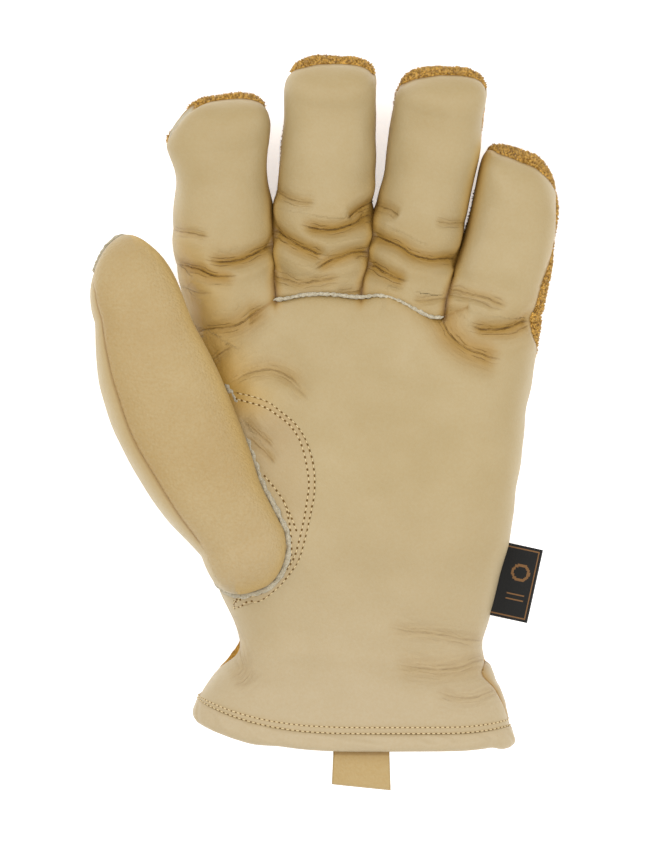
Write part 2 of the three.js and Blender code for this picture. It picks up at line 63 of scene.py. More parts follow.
# How fine each skin is drawn
PALM_GRID = 1.15
FINGER_GRID = 0.56
THUMB_GRID = 0.8
BACK_GRID = 1.3
FINGER_BACK_GRID = 1.0
PATCH_GRID = 0.6


def table(columns, rows):
    """A short table with named columns."""
    Row = namedtuple("Row", columns)
    return [Row(*row) for row in rows]


def easing(share):
    """From nought to one with soft ends."""
    share = np.clip(share, 0, 1)
    return share * share * (3 - 2 * share)


def bell(off, width):
    """One at the middle, fading to nought about two widths off."""
    return np.exp(-((off / width) ** 2))


def smooth_curve(x, y, slope, at):
    """A smooth curve through values y at places x, with its slopes there, read off at other places."""
    i = np.clip(np.searchsorted(x, at, side="right") - 1, 0, len(x) - 2)
    step = x[i + 1] - x[i]
    t = (at - x[i]) / step
    if y.ndim > 1:
        step, t = step[:, None], t[:, None]
    return (
        (2 * t**3 - 3 * t**2 + 1) * y[i]
        + (t**3 - 2 * t**2 + t) * step * slope[i]
        + (3 * t**2 - 2 * t**3) * y[i + 1]
        + (t**3 - t**2) * step * slope[i + 1]
    )


def unit(vectors, least=0.0):
    """The same directions, each of length one."""
    return vectors / (np.linalg.norm(vectors, axis=1)[:, None] + least)


def run_along(path):
    """How far along a path each of its points lies."""
    return np.concatenate([[0], np.cumsum(np.linalg.norm(np.diff(path, axis=0), axis=1))])


def points_at(places, run, path):
    """The points of a path at some places along it."""
    return np.column_stack([np.interp(places, run, path[:, k]) for k in range(path.shape[1])])


def in_box(points, low, high):
    """Which points lie between two corners."""
    return np.flatnonzero(((points > low) & (points < high)).all(1))


# The oval sections: left and right are the sides; back, middle and front are the heights. The seam columns
# say how high the seam between front and back lies, as a share of the depth in front of the middle.
SECTION = "along left right back middle front seam_left seam_right"


class Limb:
    """A tube of oval sections along an axis that leans in plan from its root and may curl upwards."""

    def __init__(self, name, root, lean, square, tip, rows, base=None, bend=None):
        self.name = name
        self.root = root
        self.lean = math.radians(lean)
        self.square = square
        self.tip = tip
        self.base = base
        self.bend = bend
        self.rows = table(SECTION, rows)
        self.tip_start = self.rows[-1].along
        self.places = np.arange(self.rows[0].along, self.tip_start + 0.5, 0.5)
        self.columns = {name: self.smooth(name) for name in SECTION.split()[1:]}

    def smooth(self, name):
        """A column of the table, joined by a smooth curve through its rows."""
        x = np.array([row.along for row in self.rows])
        y = np.array([getattr(row, name) for row in self.rows])
        slope = np.gradient(y, x) if len(x) > 2 else np.zeros_like(y)
        slope[1:-1] = (y[2:] - y[:-2]) / (x[2:] - x[:-2])
        return smooth_curve(x, y, slope, np.clip(self.places, x[0], x[-1]))

    def at(self, name, along):
        return np.interp(along, self.places, self.columns[name])

    def sides(self, along):
        return self.at("left", along), self.at("right", along)

    def at_side(self, place):
        """Whether a place, along and lateral, lies at the limb's side."""
        along, lateral = place
        left, right = self.sides(along)
        return lateral < AT_SIDE * left or lateral > AT_SIDE * right

    def to_local(self, points):
        """Along, lateral and height on this limb for points in the glove's frame."""
        x, y, z = points.T
        if self.name == "palm":
            y = unlifted(x, y)
        dx, dy = x - self.root[0], y - self.root[1]
        along = dx * math.sin(self.lean) + dy * math.cos(self.lean)
        lateral = dx * math.cos(self.lean) - dy * math.sin(self.lean)
        height = z
        if self.bend:
            past = along - self.bend.start
            down = self.bend.middle + self.bend.radius - z
            turned = self.bend.start + self.bend.radius * np.arctan2(past, down)
            bent = self.bend.middle + self.bend.radius - np.hypot(past, down)
            along, height = np.where(past > 0, turned, along), np.where(past > 0, bent, height)
        return along, lateral, height

    def flat(self, points):
        """Along and lateral on this limb."""
        return np.column_stack(self.to_local(points)[:2])

    def oval(self, points):
        """How far out points lie, 1 being the skin, how far off the middle line, and how far along."""
        along, lateral, height = self.to_local(points)
        left, right = self.sides(along)
        middle = self.at("middle", along)
        side = lateral - (left + right) / 2
        rise = height - middle
        half = (right - left) / 2
        depth = np.where(rise > 0, self.at("front", along) - middle, middle - self.at("back", along))
        wide = (np.abs(side) / half) ** self.square
        tall = (np.abs(rise) / depth) ** self.square
        total = wide + tall + 1e-12
        level = total ** (1 / self.square)
        share = wide / total
        past = np.maximum(along - self.tip_start, 0)
        cap, reach = self.tip, past / self.tip.length
        reach = reach * (1 - cap.slant * np.clip(side / half, -1, 1))
        power = share * np.where(side > 0, cap.right, cap.left) + (1 - share) * cap.side
        if self.base:
            before = np.maximum(self.base.start - along, 0)
            base_power = share * np.where(side > 0, self.base.right, self.base.left)
            power = np.where(before > 0, base_power + (1 - share) * self.base.side, power)
            reach = np.where(before > 0, before / self.base.length, reach)
            past = past + before
        out = (level**power + reach**power) ** (1 / power)
        radius = np.sqrt(side**2 + rise**2 + past**2)
        return out, radius, along

    def distance(self, points):
        """Roughly how far points lie outside the limb's skin."""
        out, radius, along = self.oval(points)
        before_root = np.maximum(self.rows[0].along - along, 0) if self.root[1] > 0 else 0
        return radius * (1 - 1 / np.maximum(out, 1e-4)) + 0.8 * before_root

    def above_seam(self, points):
        """How far points lie in front of the surface through the limb's two side seams."""
        along, lateral, height = self.to_local(points)
        left, right = self.sides(along)
        middle, front = self.at("middle", along), self.at("front", along)
        reach = np.clip((along - self.tip_start) / self.tip.length, 0, 0.999)
        if self.base:
            before = np.clip((self.base.start - along) / self.base.length, 0, 0.999)
            reach = np.maximum(reach, before)
        shrink = (1 - reach**SEAM_ROUNDING) ** (1 / SEAM_ROUNDING)
        centre, half = (left + right) / 2, (right - left) / 2 * shrink
        depth = (front - middle) * shrink
        ends = []
        into_tip = (along - self.tip_start) / self.tip.length
        at_tip = easing((into_tip - 0.35) / 0.4 if self.base else into_tip / 0.6)
        for name, sign in (("seam_left", -1), ("seam_right", 1)):
            wrap = 0.5 if not self.base or sign < 0 else 0.0
            level = self.at(name, along) - wrap * at_tip
            width = (1 - np.abs(level) ** self.square) ** (1 / self.square)
            ends.append((centre + sign * half * width, middle + level * depth))
        (left_x, left_z), (right_x, right_z) = ends
        share = np.clip((lateral - left_x) / (right_x - left_x), 0, 1)
        return height - (left_z + (right_z - left_z) * share)


Cap = namedtuple("Cap", "length left right side slant", defaults=[0.0])
Base = namedtuple("Base", "start length left right side")
Bend = namedtuple("Bend", "start radius middle")

palm = Limb("palm", (0, 0), 0, 2.7, Cap(16, 6, 6, 2.4), [
    (-132.0, -50.0, 72.5, -1.0, 22, 43.0, 0.1, 0.1),
    (-125.4, -50.0, 72.0, -1.0, 22, 43.0, 0.1, 0.1),
    (-114.0, -48.8, 70.4, -1.0, 21, 42.5, 0.1, 0.2),
    (-102.0, -45.0, 66.6, -0.6, 20, 41.5, -0.35, 0.4),
    (-94.0, -41.0, 62.6, 1.0, 19, 40.0, -0.1, 0.48),
    (-86.0, -34.6, 60.2, 3.6, 19, 38.5, 0.12, -0.3),
    (-76.0, -34.9, 63.4, 1.6, 19, 39.5, -0.6, -0.45),
    (-62.0, -40.5, 66.5, -0.8, 20, 42.0, -0.35, -0.3),
    (-42.0, -44.5, 70.8, -1.8, 21, 45.0, -0.3, -0.3),
    (-18.0, -47.0, 73.8, -2.0, 21, 46.5, -0.3, -0.3),
    (6.0, -49.0, 76.4, -2.0, 21, 45.5, -0.3, -0.3),
    (26.0, -50.0, 78.8, -1.8, 20, 42.5, -0.3, -0.2),
    (41.0, -50.5, 79.8, -1.4, 19, 40.5, -0.3, 0.0),
])
index = Limb("index", (-36.5, 38.8), -2.5, 2.7, Cap(16.8, 1.62, 4.8, 2.4), [
    (-20.0, -11.0, 12.5, 4.0, 16, 27.0, 0.1, 0.1),
    (-6.0, -13.2, 15.4, 0.2, 17, 33.5, 0.1, 0.1),
    (4.0, -15.0, 18.7, -1.0, 17, 38.5, 0.0, -0.2),
    (14.0, -17.9, 20.7, -1.0, 17, 39.5, -0.3, -0.3),
    (27.0, -20.2, 20.9, -0.6, 17, 39.0, -0.4, -0.3),
    (42.0, -20.0, 18.6, 0.6, 17, 37.0, -0.4, -0.35),
    (58.0, -19.0, 17.5, 2.0, 17, 34.5, -0.35, -0.35),
    (69.0, -21.3, 18.3, 3.2, 17, 32.5, 0.0, -0.25),
], bend=Bend(16, 165, 17))
middle = Limb("middle", (-2.7, 47.9), 3.6, 2.7, Cap(13.9, 3.5, 4.2, 2.4, 0.07), [
    (-24.0, -14.0, 13.6, 3.0, 17, 28.0, 0.1, 0.1),
    (-5.0, -17.0, 16.0, -0.5, 18, 37.0, -0.2, -0.2),
    (5.0, -19.2, 18.3, -1.0, 18, 39.5, -0.2, -0.2),
    (15.0, -19.9, 20.9, -1.0, 18, 40.5, -0.2, -0.2),
    (26.0, -19.9, 20.3, -0.6, 18, 40.0, -0.2, -0.2),
    (38.0, -18.7, 18.7, 0.4, 18, 38.5, -0.15, -0.3),
    (52.0, -18.2, 18.1, 1.8, 18, 36.5, -0.08, -0.35),
    (66.0, -16.3, 17.5, 3.4, 18, 35.0, -0.08, -0.35),
    (77.0, -16.5, 17.0, 4.6, 18, 33.5, -0.15, -0.25),
], bend=Bend(18, 165, 18))
ring = Limb("ring", (29.6, 44.5), 9.8, 2.7, Cap(14.5, 2.35, 3.0, 2.4, 0.16), [
    (-22.0, -13.5, 12.0, 3.0, 17, 28.0, 0.1, 0.1),
    (-5.0, -15.8, 14.6, -0.5, 18, 36.5, -0.2, -0.2),
    (4.0, -17.8, 15.8, -1.0, 18, 39.5, -0.2, -0.2),
    (14.0, -18.2, 16.9, -1.0, 18, 40.5, -0.2, -0.2),
    (25.0, -18.2, 17.8, -0.6, 18, 39.5, -0.2, -0.2),
    (37.0, -16.6, 18.0, 0.4, 18, 38.0, -0.3, -0.3),
    (51.0, -15.0, 18.4, 1.8, 18, 36.0, -0.35, -0.3),
    (66.0, -16.2, 19.0, 3.4, 18, 34.5, -0.35, -0.3),
    (78.0, -16.8, 19.2, 4.6, 18, 33.0, -0.2, -0.25),
], bend=Bend(18, 165, 18))
little = Limb("little", (61.9, 38.0), 12, 2.7, Cap(19.9, 6.8, 1.68, 2.4, -0.07), [
    (-20.0, -12.5, 14.0, 4.0, 16, 27.0, 0.1, 0.1),
    (-6.0, -17.0, 18.0, 0.2, 16, 34.0, -0.2, 0.1),
    (4.0, -19.2, 18.7, -0.8, 16, 38.5, -0.2, 0.1),
    (12.0, -18.8, 18.6, -0.8, 16, 38.5, -0.2, 0.05),
    (22.0, -17.4, 19.3, -0.4, 16, 36.5, -0.1, 0.0),
    (34.0, -15.5, 18.9, 0.8, 16, 34.5, -0.1, 0.0),
    (46.0, -15.2, 18.0, 2.2, 16, 32.5, -0.1, 0.0),
], bend=Bend(16, 150, 16))
thumb = Limb("thumb", (-32.3, -66.9), -18.5, 3.0, Cap(27.5, 1.9, 1.8, 2.4, 0.16), [
    (20.0, -8.6, 25.4, 20.0, 37.5, 53.5, 0.72, -0.1),
    (30.0, -12.8, 23.6, 19.5, 38.0, 56.0, 0.8, -0.1),
    (40.0, -16.9, 22.2, 19.5, 39.0, 58.5, 0.85, -0.1),
    (54.0, -21.2, 22.0, 21.0, 41.0, 61.0, 0.86, -0.1),
    (72.0, -24.0, 20.9, 24.0, 43.5, 63.0, 0.84, -0.1),
    (90.0, -23.8, 19.3, 28.0, 46.5, 65.0, 0.83, -0.1),
    (104.0, -21.4, 17.3, 31.5, 48.5, 65.5, 0.79, -0.1),
    (116.0, -18.0, 16.8, 34.5, 50.0, 65.5, 0.7, -0.1),
], base=Base(20, 19, 2.6, 1.9, 2.2))
FINGERS = [index, middle, ring, little]

# Folds pressed into the leather. The path is in (along, lateral) on the limb; width is the fold's own.
FOLDS = table("limb depth width path", [
    (index, 1.3, 2.0, [(-4, -12), (-3.5, -7), (-2.7, 1), (0.4, 7.6), (5.4, 15.8)]),
    (index, 2.3, 1.5, [(23.6, -9), (23.1, 2.2), (24.7, 10.2), (29.5, 19)]),
    (index, 1.7, 1.5, [(22.6, -20), (19.5, -10.9), (16.6, -4.6), (16.9, 5.5)]),
    (index, 0.7, 0.9, [(36.4, -20), (34.7, -10.3), (33.8, -5)]),
    (index, 0.6, 0.9, [(14.6, -20), (11.1, -11.3), (10.2, -5)]),
    (middle, 0.8, 1.1, [(40.0, -19), (37.1, -8.8), (36.5, -2)]),
    (middle, 2.0, 1.3, [(38.6, 20), (35.4, 14.5), (31.2, 9)]),
    (middle, 2.4, 1.5, [(27.3, -10), (26.4, 2.5), (28.5, 11.5), (33.4, 19)]),
    (middle, 2.4, 1.5, [(25.8, -20), (19.1, -10.3), (15.9, -2.1), (15.4, 4.5)]),
    (middle, 1.7, 1.3, [(9.0, -3), (13.7, 5.6), (16.8, 12.3), (18.6, 20)]),
    (middle, 0.9, 1.0, [(7, -18), (4.7, -9.4), (6.3, 3.8), (7.6, 11)]),
    (middle, 0.7, 1.0, [(1.2, 6.4), (4, 18)]),
    (ring, 2.2, 1.5, [(25, -18), (22.1, -5.8), (19.3, 2.1), (19, 9.4), (20.8, 18)]),
    (ring, 1.8, 1.4, [(13, -17), (10.3, -7.6), (8.8, 1)]),
    (ring, 0.6, 0.9, [(35.1, 5.7), (35.8, 19)]),
    (ring, 0.7, 0.9, [(2.5, 2.4), (3.4, 10.6), (5, 15)]),
    (ring, 0.9, 1.3, [(36.6, -17.5), (36.2, -12), (34.5, -7)]),
    (little, 0.9, 1.0, [(9.4, -19), (8.9, -7.7), (6.6, 7.5)]),
    (little, 0.6, 0.8, [(7.0, -19), (6.9, -8.7), (5.0, 4)]),
    (little, 2.2, 1.6, [(-3.2, -9), (-3.3, -0.9), (-0.7, 7.9), (5.6, 19)]),
    (little, 1.6, 2.6, [(-2.7, -17.5), (-8.3, -11.8), (-12, -3.3), (-12.9, 9)]),
    (palm, 0.8, 1.7, [(14.2, -38), (16.7, -33.1), (19.3, -25.6), (19.6, -18.4), (16.1, -12), (10.0, -8.0)]),
    (palm, 0.45, 1.1, [(19.2, -20.5), (16.0, -14.5), (12.4, -9.8), (8.0, -5.7)]),
    (palm, 0.35, 1.3, [(-77, 22), (-79.5, 38), (-83, 59)]),
    (palm, 0.45, 2.2, [(-90, 24), (-93, 40), (-90, 62)]),
    (palm, 0.3, 1.2, [(-101, 40), (-104, 52), (-102, 64)]),
    (palm, 0.25, 1.6, [(-88, -33), (-93, -31), (-99, -36)]),
    (palm, 0.2, 1.4, [(-92, -27), (-97, -29), (-102, -35)]),
    (palm, 0.9, 4.5, [(38, -47), (27, -42), (16, -37)]),
    (palm, 0.7, 1.1, [(21.5, -45), (25.5, -41), (29.5, -35)]),
    (palm, 0.6, 0.9, [(2.5, -32), (-3.5, -25.5), (-10.5, -19.0)]),
    (palm, 0.6, 0.9, [(-4, -30.5), (-9.5, -24.5), (-16, -18.0)]),
])

POINT = "x y"
# The raw-edged seam under the middle and ring fingers.
FINGER_SEAM = table(POINT, [
    (-20.6, 45.2), (-19.6, 46.0), (-16.0, 46.5), (-9.0, 47.9), (2.0, 48.3), (13.7, 47.2), (21.0, 47.9),
    (28.5, 45.4), (36.0, 41.6), (40.6, 39.7), (43.6, 39.6), (46.0, 40.4),
])
# The line across the roots of the fingers where their suede backs are sewn to the hand's
KNUCKLES = table(POINT, [(-80, 38), (-38, 48), (-8, 55), (26, 55), (56, 48), (110, 34)])

THUMB_SEAM = table(POINT, [
    (-29.2, -4.4), (-25.8, -17.1), (-22.3, -25.3), (-18.8, -32.3), (-15.3, -38.0), (-14.0, -43.3),
    (-14.6, -49.0), (-17.0, -54.4), (-20.5, -58.6), (-25.8, -62.0), (-31.6, -65.0), (-37.4, -65.5),
])
PATCH_EDGE = table(POINT, [
    (-40.0, 12.5), (-33.0, 11.2), (-26.8, 9.6), (-20.8, 7.4), (-16.2, 4.0), (-12.0, 0.8), (-8.6, -3.8),
    (-6.2, -9.0), (-4.4, -15.4), (-3.8, -23.6), (-4.3, -29.4), (-5.6, -36.4), (-7.4, -43.4),
    (-9.8, -51.6), (-13.8, -58.2), (-18.4, -62.8), (-23.0, -66.4), (-28.8, -68.6), (-34.0, -70.2),
])


THUMB_SIDE_LIFT = 13.0
LITTLE_SIDE_LIFT = 2.6


def cuff_lift(x, y):
    """How far the cuff's edge is drawn up, most at both side seams."""
    at_thumb = THUMB_SIDE_LIFT * (np.clip(15 - x, 0, 65) / 62.5) ** 2.6
    at_little = LITTLE_SIDE_LIFT * (np.maximum(0, x - 48) / 22) ** 2
    return easing((WAIST - y) / (WAIST - MOUTH)) * (at_thumb + at_little)


def join(a, b, radius):
    """Two distances blended by a fillet of about this radius."""
    near = np.maximum(radius - np.abs(a - b), 0) / radius
    return np.minimum(a, b) - near * near * radius / 4


def flatten(distance, points):
    """A soft form pressed flat by the floor."""
    under = -points[:, 2]
    near = np.maximum(FLOOR_SOFTNESS - np.abs(distance - under), 0) / FLOOR_SOFTNESS
    return np.maximum(distance, under) + near * near * FLOOR_SOFTNESS / 4


def gradient(distance, points, step=0.25):
    """The direction in which a distance grows."""
    out = np.empty_like(points)
    for axis in range(3):
        shift = np.zeros(3)
        shift[axis] = step
        out[:, axis] = (distance(points + shift) - distance(points - shift)) / (2 * step)
    return out


def put_on(distance, points, reach):
    """Points moved by up to a reach onto the surface where a distance is nought, and its slope there."""
    slope = gradient(distance, points)
    steep = np.maximum((slope**2).sum(1), 0.05)
    return points - np.clip(distance(points) / steep, -reach, reach)[:, None] * slope, slope


def corner_of(values, corner):
    """The values at one corner of each cell of a grid."""
    return values[tuple(slice(c, size - 1 + c) for c, size in zip(corner, values.shape))]


def draw_skin(distance, low, high, step):
    """Points and four-sided faces over the surface where a distance is nought."""
    axes = [np.arange(low[k], high[k] + step, step) for k in range(3)]
    grid = np.stack(np.meshgrid(*axes, indexing="ij"), -1)
    shape = np.array(grid.shape[:3])
    field = np.concatenate([distance(layer.reshape(-1, 3)) for layer in grid]).reshape(shape)
    inside = field < 0
    corners = [(i, j, k) for i in (0, 1) for j in (0, 1) for k in (0, 1)]
    count = sum(corner_of(inside, c).astype(np.int8) for c in corners)
    active = (count > 0) & (count < 8)
    number = np.full(active.shape, -1)
    number[active] = np.arange(active.sum())
    cells = np.argwhere(active)
    total = np.zeros((len(cells), 3))
    hits = np.zeros(len(cells))
    for a in corners:
        for axis in range(3):
            if a[axis]:
                continue
            b = tuple(1 if k == axis else a[k] for k in range(3))
            at_a = field[tuple((cells + a).T)]
            at_b = field[tuple((cells + b).T)]
            crossed = (at_a < 0) != (at_b < 0)
            t = np.where(crossed, at_a / np.where(crossed, at_a - at_b, 1), 0)
            total += np.where(crossed[:, None], np.array(a) + t[:, None] * (np.array(b) - np.array(a)), 0)
            hits += crossed
    points = np.array(low) + step * (cells + total / hits[:, None])
    faces = []
    for axis in range(3):
        u, v = (axis + 1) % 3, (axis + 2) % 3
        near = [slice(None)] * 3
        far = [slice(None)] * 3
        near[axis], far[axis] = slice(0, -1), slice(1, None)
        first, second = inside[tuple(near)], inside[tuple(far)]
        edges = np.argwhere(first != second)
        limit = shape - 2
        fits = (edges[:, u] > 0) & (edges[:, v] > 0) & (edges[:, u] <= limit[u]) & (edges[:, v] <= limit[v])
        edges = edges[fits]
        outwards = first[tuple(edges.T)]
        eu, ev = np.eye(3, dtype=int)[u], np.eye(3, dtype=int)[v]
        quad = np.stack([number[tuple((edges + d).T)] for d in (-eu - ev, -ev, 0 * eu, -eu)], -1)
        faces.append(np.where(outwards[:, None], quad, quad[:, ::-1]))
    faces = np.concatenate(faces)
    for _ in range(2):
        points, _ = put_on(distance, points, step)
    return points, faces


class Skin:
    """A surface with named values at its points, which can be cut along a line where a value is nought."""

    def __init__(self, points, faces, values):
        self.points = points
        self.faces = faces
        self.values = values

    def keep(self, value):
        """The part of the surface where a value at its points is above nought."""
        inside = value > 0
        count = inside[self.faces].sum(1)
        whole = self.faces[count == 3]
        faces = [whole]
        names = list(self.values)
        data = np.column_stack([self.points] + [self.values[name] for name in names] + [value])
        firsts, seconds = [], []
        start = len(data)
        for wanted in (1, 2):
            mixed = self.faces[count == wanted]
            lone = inside[mixed] if wanted == 1 else ~inside[mixed]
            turn = lone.argmax(1)
            a, b, c = (mixed[np.arange(len(mixed)), (turn + k) % 3] for k in range(3))
            ab = start + np.arange(len(mixed))
            ac = ab + len(mixed)
            firsts += [a, a]
            seconds += [b, c]
            start += 2 * len(mixed)
            if wanted == 1:
                faces.append(np.column_stack([a, ab, ac]))
            else:
                faces += [np.column_stack([ab, b, c]), np.column_stack([ab, c, ac])]
        first, second = np.concatenate(firsts), np.concatenate(seconds)
        low, high = np.minimum(first, second), np.maximum(first, second)
        t = value[low] / (value[low] - value[high])
        data = np.concatenate([data, data[low] + t[:, None] * (data[high] - data[low])])
        edge = low.astype(np.int64) * len(value) + high
        _, at, back = np.unique(edge, return_index=True, return_inverse=True)
        same = np.concatenate([np.arange(len(value)), len(value) + at[back.ravel()]])
        faces = same[np.concatenate(faces)]
        used, faces = np.unique(faces, return_inverse=True)
        faces = faces.reshape(-1, 3)
        solid = (faces[:, 0] != faces[:, 1]) & (faces[:, 1] != faces[:, 2]) & (faces[:, 0] != faces[:, 2])
        data = data[used]
        values = {}
        column = 3
        for name in names:
            width = 1 if self.values[name].ndim == 1 else self.values[name].shape[1]
            block = data[:, column: column + width]
            values[name] = block[:, 0] if width == 1 else block
            column += width
        return Skin(data[:, :3], faces[solid], values)

    def finer(self, wanted, distance):
        """The same surface, in smaller triangles where points are wanted."""
        count = wanted[self.faces].sum(1)
        whole = self.faces[count == 3]
        part = self.faces[count == 2]
        lone = (~wanted[part]).argmax(1)
        a, b, c = (part[np.arange(len(part)), (lone + k) % 3] for k in range(3))
        first = np.concatenate([whole[:, 0], whole[:, 1], whole[:, 2], b])
        second = np.concatenate([whole[:, 1], whole[:, 2], whole[:, 0], c])
        low, high = np.minimum(first, second), np.maximum(first, second)
        total = len(self.points)
        _, at, back = np.unique(low.astype(np.int64) * total + high, return_index=True, return_inverse=True)
        middle, slope = put_on(distance, (self.points[low[at]] + self.points[high[at]]) / 2, 0.3)
        new = total + back.ravel()
        ab, bc, ca, split = np.split(new, [len(whole), 2 * len(whole), 3 * len(whole)])
        faces = np.concatenate([
            self.faces[count < 2],
            np.column_stack([whole[:, 0], ab, ca]),
            np.column_stack([ab, whole[:, 1], bc]),
            np.column_stack([ca, bc, whole[:, 2]]),
            np.column_stack([ab, bc, ca]),
            np.column_stack([a, b, split]),
            np.column_stack([a, split, c]),
        ])
        values = {"normal": np.concatenate([self.values["normal"], unit(slope)])}
        return Skin(np.concatenate([self.points, middle]), faces, values)

    def moved(self, amount):
        """The same surface with every point moved outwards along its normal."""
        return Skin(self.points + self.values["normal"] * amount[:, None], self.faces, self.values)


def skin_over(distance, low, high, step):
    """The skin of a form, in triangles, with its outward directions."""
    points, quads = draw_skin(distance, low, high, step)
    faces = np.concatenate([quads[:, [0, 1, 2]], quads[:, [0, 2, 3]]])
    return Skin(points, faces, {"normal": unit(gradient(distance, points))})


def along_path(path, count):
    """Evenly spread points on a smooth curve through a path's points."""
    p = np.array([tuple(q) for q in path], float)
    chord = run_along(p)
    slope = np.gradient(p, chord, axis=0) if len(p) > 2 else np.repeat((p[1:] - p[:1]) / chord[1], 2, 0)
    curve = smooth_curve(chord, p, slope, np.linspace(0, chord[-1], 40 * len(p)))
    run = run_along(curve)
    return points_at(np.linspace(0, run[-1], count), run, curve)


OUT_OF_REACH = 1e3


def beside_path(points, path, reach):
    """How far to the side of a path points lie, how far along it, and the share of its length there."""
    curve = along_path(path, 60)
    gap = np.full(len(points), OUT_OF_REACH)
    run = np.zeros(len(points))
    share = np.zeros(len(points))
    low, high = curve.min(0) - reach, curve.max(0) + reach
    near = in_box(points, low, high)
    if len(near):
        steps = np.gradient(curve, axis=0)
        length = np.linalg.norm(steps, axis=1)
        steps /= length[:, None]
        off = points[near, None, :] - curve[None, :, :]
        closest_place = np.linalg.norm(off, axis=2).argmin(1)
        off = off[np.arange(len(near)), closest_place]
        ahead = steps[closest_place]
        share[near] = closest_place / (len(curve) - 1)
        run[near] = np.cumsum(length)[closest_place] + (off * ahead).sum(1)
        gap[near] = ahead[:, 0] * off[:, 1] - ahead[:, 1] * off[:, 0]
    return gap, run, share


def inside_outline(points, outline):
    """Signed distance in plan from a closed outline, above nought inside it."""
    gap = np.full(len(points), OUT_OF_REACH)
    crossings = np.zeros(len(points), int)
    x, y = points.T
    for a, b in zip(outline, np.roll(outline, -1, axis=0)):
        along = b - a
        t = np.clip(((points - a) @ along) / (along @ along), 0, 1)
        gap = np.minimum(gap, np.linalg.norm(points - (a + t[:, None] * along), axis=1))
        spans = (a[1] > y) != (b[1] > y)
        rise = np.where(spans, b[1] - a[1], 1)
        crossings += spans & (x < a[0] + (y - a[1]) / rise * along[0])
    return np.where(crossings % 2 == 1, gap, -gap)


def unlifted(x, y):
    """How far along the palm a point lies before the cuff's edge is drawn up."""
    along = y
    for _ in range(9):
        along = y - cuff_lift(x, along)
    return along


LUMPS = table("size height", [(46, 0.5), (27, 0.34), (15, 0.13)])
PHASES = 6.28


def lumps(points, seed):
    """Soft unevenness of padded leather: a few waves in random directions."""
    rng = np.random.default_rng(seed)
    out = np.zeros(len(points))
    for size, height in LUMPS:
        for _ in range(5):
            direction = rng.normal(size=3)
            direction /= np.linalg.norm(direction)
            wave = points @ direction * (2 * math.pi / size) + rng.uniform(0, PHASES)
            out += height / 2 * np.sin(wave)
    return out


FAR = 9.0
FOLD_DEPTH = 1.25
# Folds wider than this are soft hollows, with no crease at the bottom
BROAD_FOLD = 3.0
# The banks of leather beside a fold: how high for its depth, and how far off and wide for its width
BANK_HEIGHT = 0.26
BANK_OFF = 4.4
BANK_WIDTH = 2.4


def press_folds(skin, limbs):
    """Presses the folds into a skin's front, keeps where its points lie beside them, and paints golden
    shade in and around each fold.

    Neighbouring folds are kept in two groups, so that their lines stay apart. Each group has the place
    beside the nearest fold, the place along it, how strong its line is, and how wrinkled the leather is.
    """
    points = skin.points
    move, painted_shade = np.zeros(len(points)), np.zeros(len(points))
    place = [np.column_stack([np.full(len(points), FAR), 0 * move, 0 * move]) for _ in range(2)]
    near = [np.zeros(len(points)) for _ in range(2)]
    facing = np.clip(skin.values["normal"][:, 2] * 1.6 + 0.25, 0, 1)
    if limbs != [thumb]:
        facing *= easing(front_value(points) / 2.5) * easing(contact(points) / 1.6)
    for limb in limbs:
        flat = limb.flat(points)
        for number, fold in enumerate(FOLDS):
            if fold.limb is not limb:
                continue
            width, depth = fold.width, fold.depth
            gap, run, share = beside_path(flat, fold.path, 8 * width + 2)
            gap += 0.1 * np.sin(run / 1.6 + number) + 0.25 * np.sin(run / 3.7 + 2 * number)
            away = np.abs(gap)
            broad = width > BROAD_FOLD
            start = share + (limb.at_side(fold.path[0]) and not broad)
            end = 1 - share + (limb.at_side(fold.path[-1]) and not broad)
            taper = facing * easing(np.minimum(start, end) / (0.5 if broad else 0.25))
            valley = 0.5 * np.exp(-1.5 * away / width) + 0.5 * bell(away, 2.4 * width)
            overhang = 1 + 0.5 * np.tanh(gap / width)
            bank = BANK_HEIGHT * overhang * bell(away - BANK_OFF * width, BANK_WIDTH * width)
            move += FOLD_DEPTH * depth * taper * (bank - valley)
            # Painted golden shade: strong close to a fold's bottom, with a faint wide halo round deep folds
            crease_shade = min(1, 0.6 * depth) * bell(away, 2.3 * width)
            halo_shade = 0.22 * min(1, depth / 2) * bell(away, 9)
            painted_shade = np.maximum(painted_shade, taper * np.maximum(crease_shade, halo_shade))
            group = number % 2
            closer = away < np.abs(place[group][:, 0])
            crease = 0 if broad else min(1, 0.12 + depth / 2)
            strength = taper * crease * easing((3.2 - away) / 1.2)
            place[group][closer] = np.column_stack([gap, run, strength])[closer]
            near[group] = np.maximum(near[group], taper * bell(away, 3 + 1.5 * width))
    skin.values["painted_shade"] = painted_shade
    for letter, where, amount in zip("ab", place, near):
        skin.values["fold_" + letter] = where
        skin.values["near_" + letter] = amount
    return move


def near_folds(points, limbs, reach=3.6):
    """Which points lie close to a fold."""
    wanted = np.zeros(len(points), bool)
    for limb in limbs:
        flat = limb.flat(points)
        for fold in FOLDS:
            if fold.limb is limb:
                wanted |= np.abs(beside_path(flat, fold.path, reach)[0]) < reach
    return wanted


# The hand's skins

ROOTS_ABOVE_SEAM = 1.5


def seam_line_height(x):
    """Where the seam under the middle and ring fingers runs, along y."""
    seam = along_path(FINGER_SEAM, 120)
    return np.interp(x, seam[:, 0], seam[:, 1])


def joined(hand, others, points):
    """The palm and some fingers as one form that rests on the floor, from how far points lie from each."""
    return flatten(np.minimum.reduce([join(hand, other, JOIN_RADIUS) for other in others]), points)


def palm_side(points):
    """The palm with the index and little fingers, and no more than the roots of the two between them."""
    above = np.maximum(points[:, 1] - seam_line_height(points[:, 0]) - ROOTS_ABOVE_SEAM, 0)
    whole = [finger.distance(points) for finger in (index, little)]
    roots = [finger.distance(points) + above for finger in (middle, ring)]
    return joined(palm.distance(points), whole + roots, points)


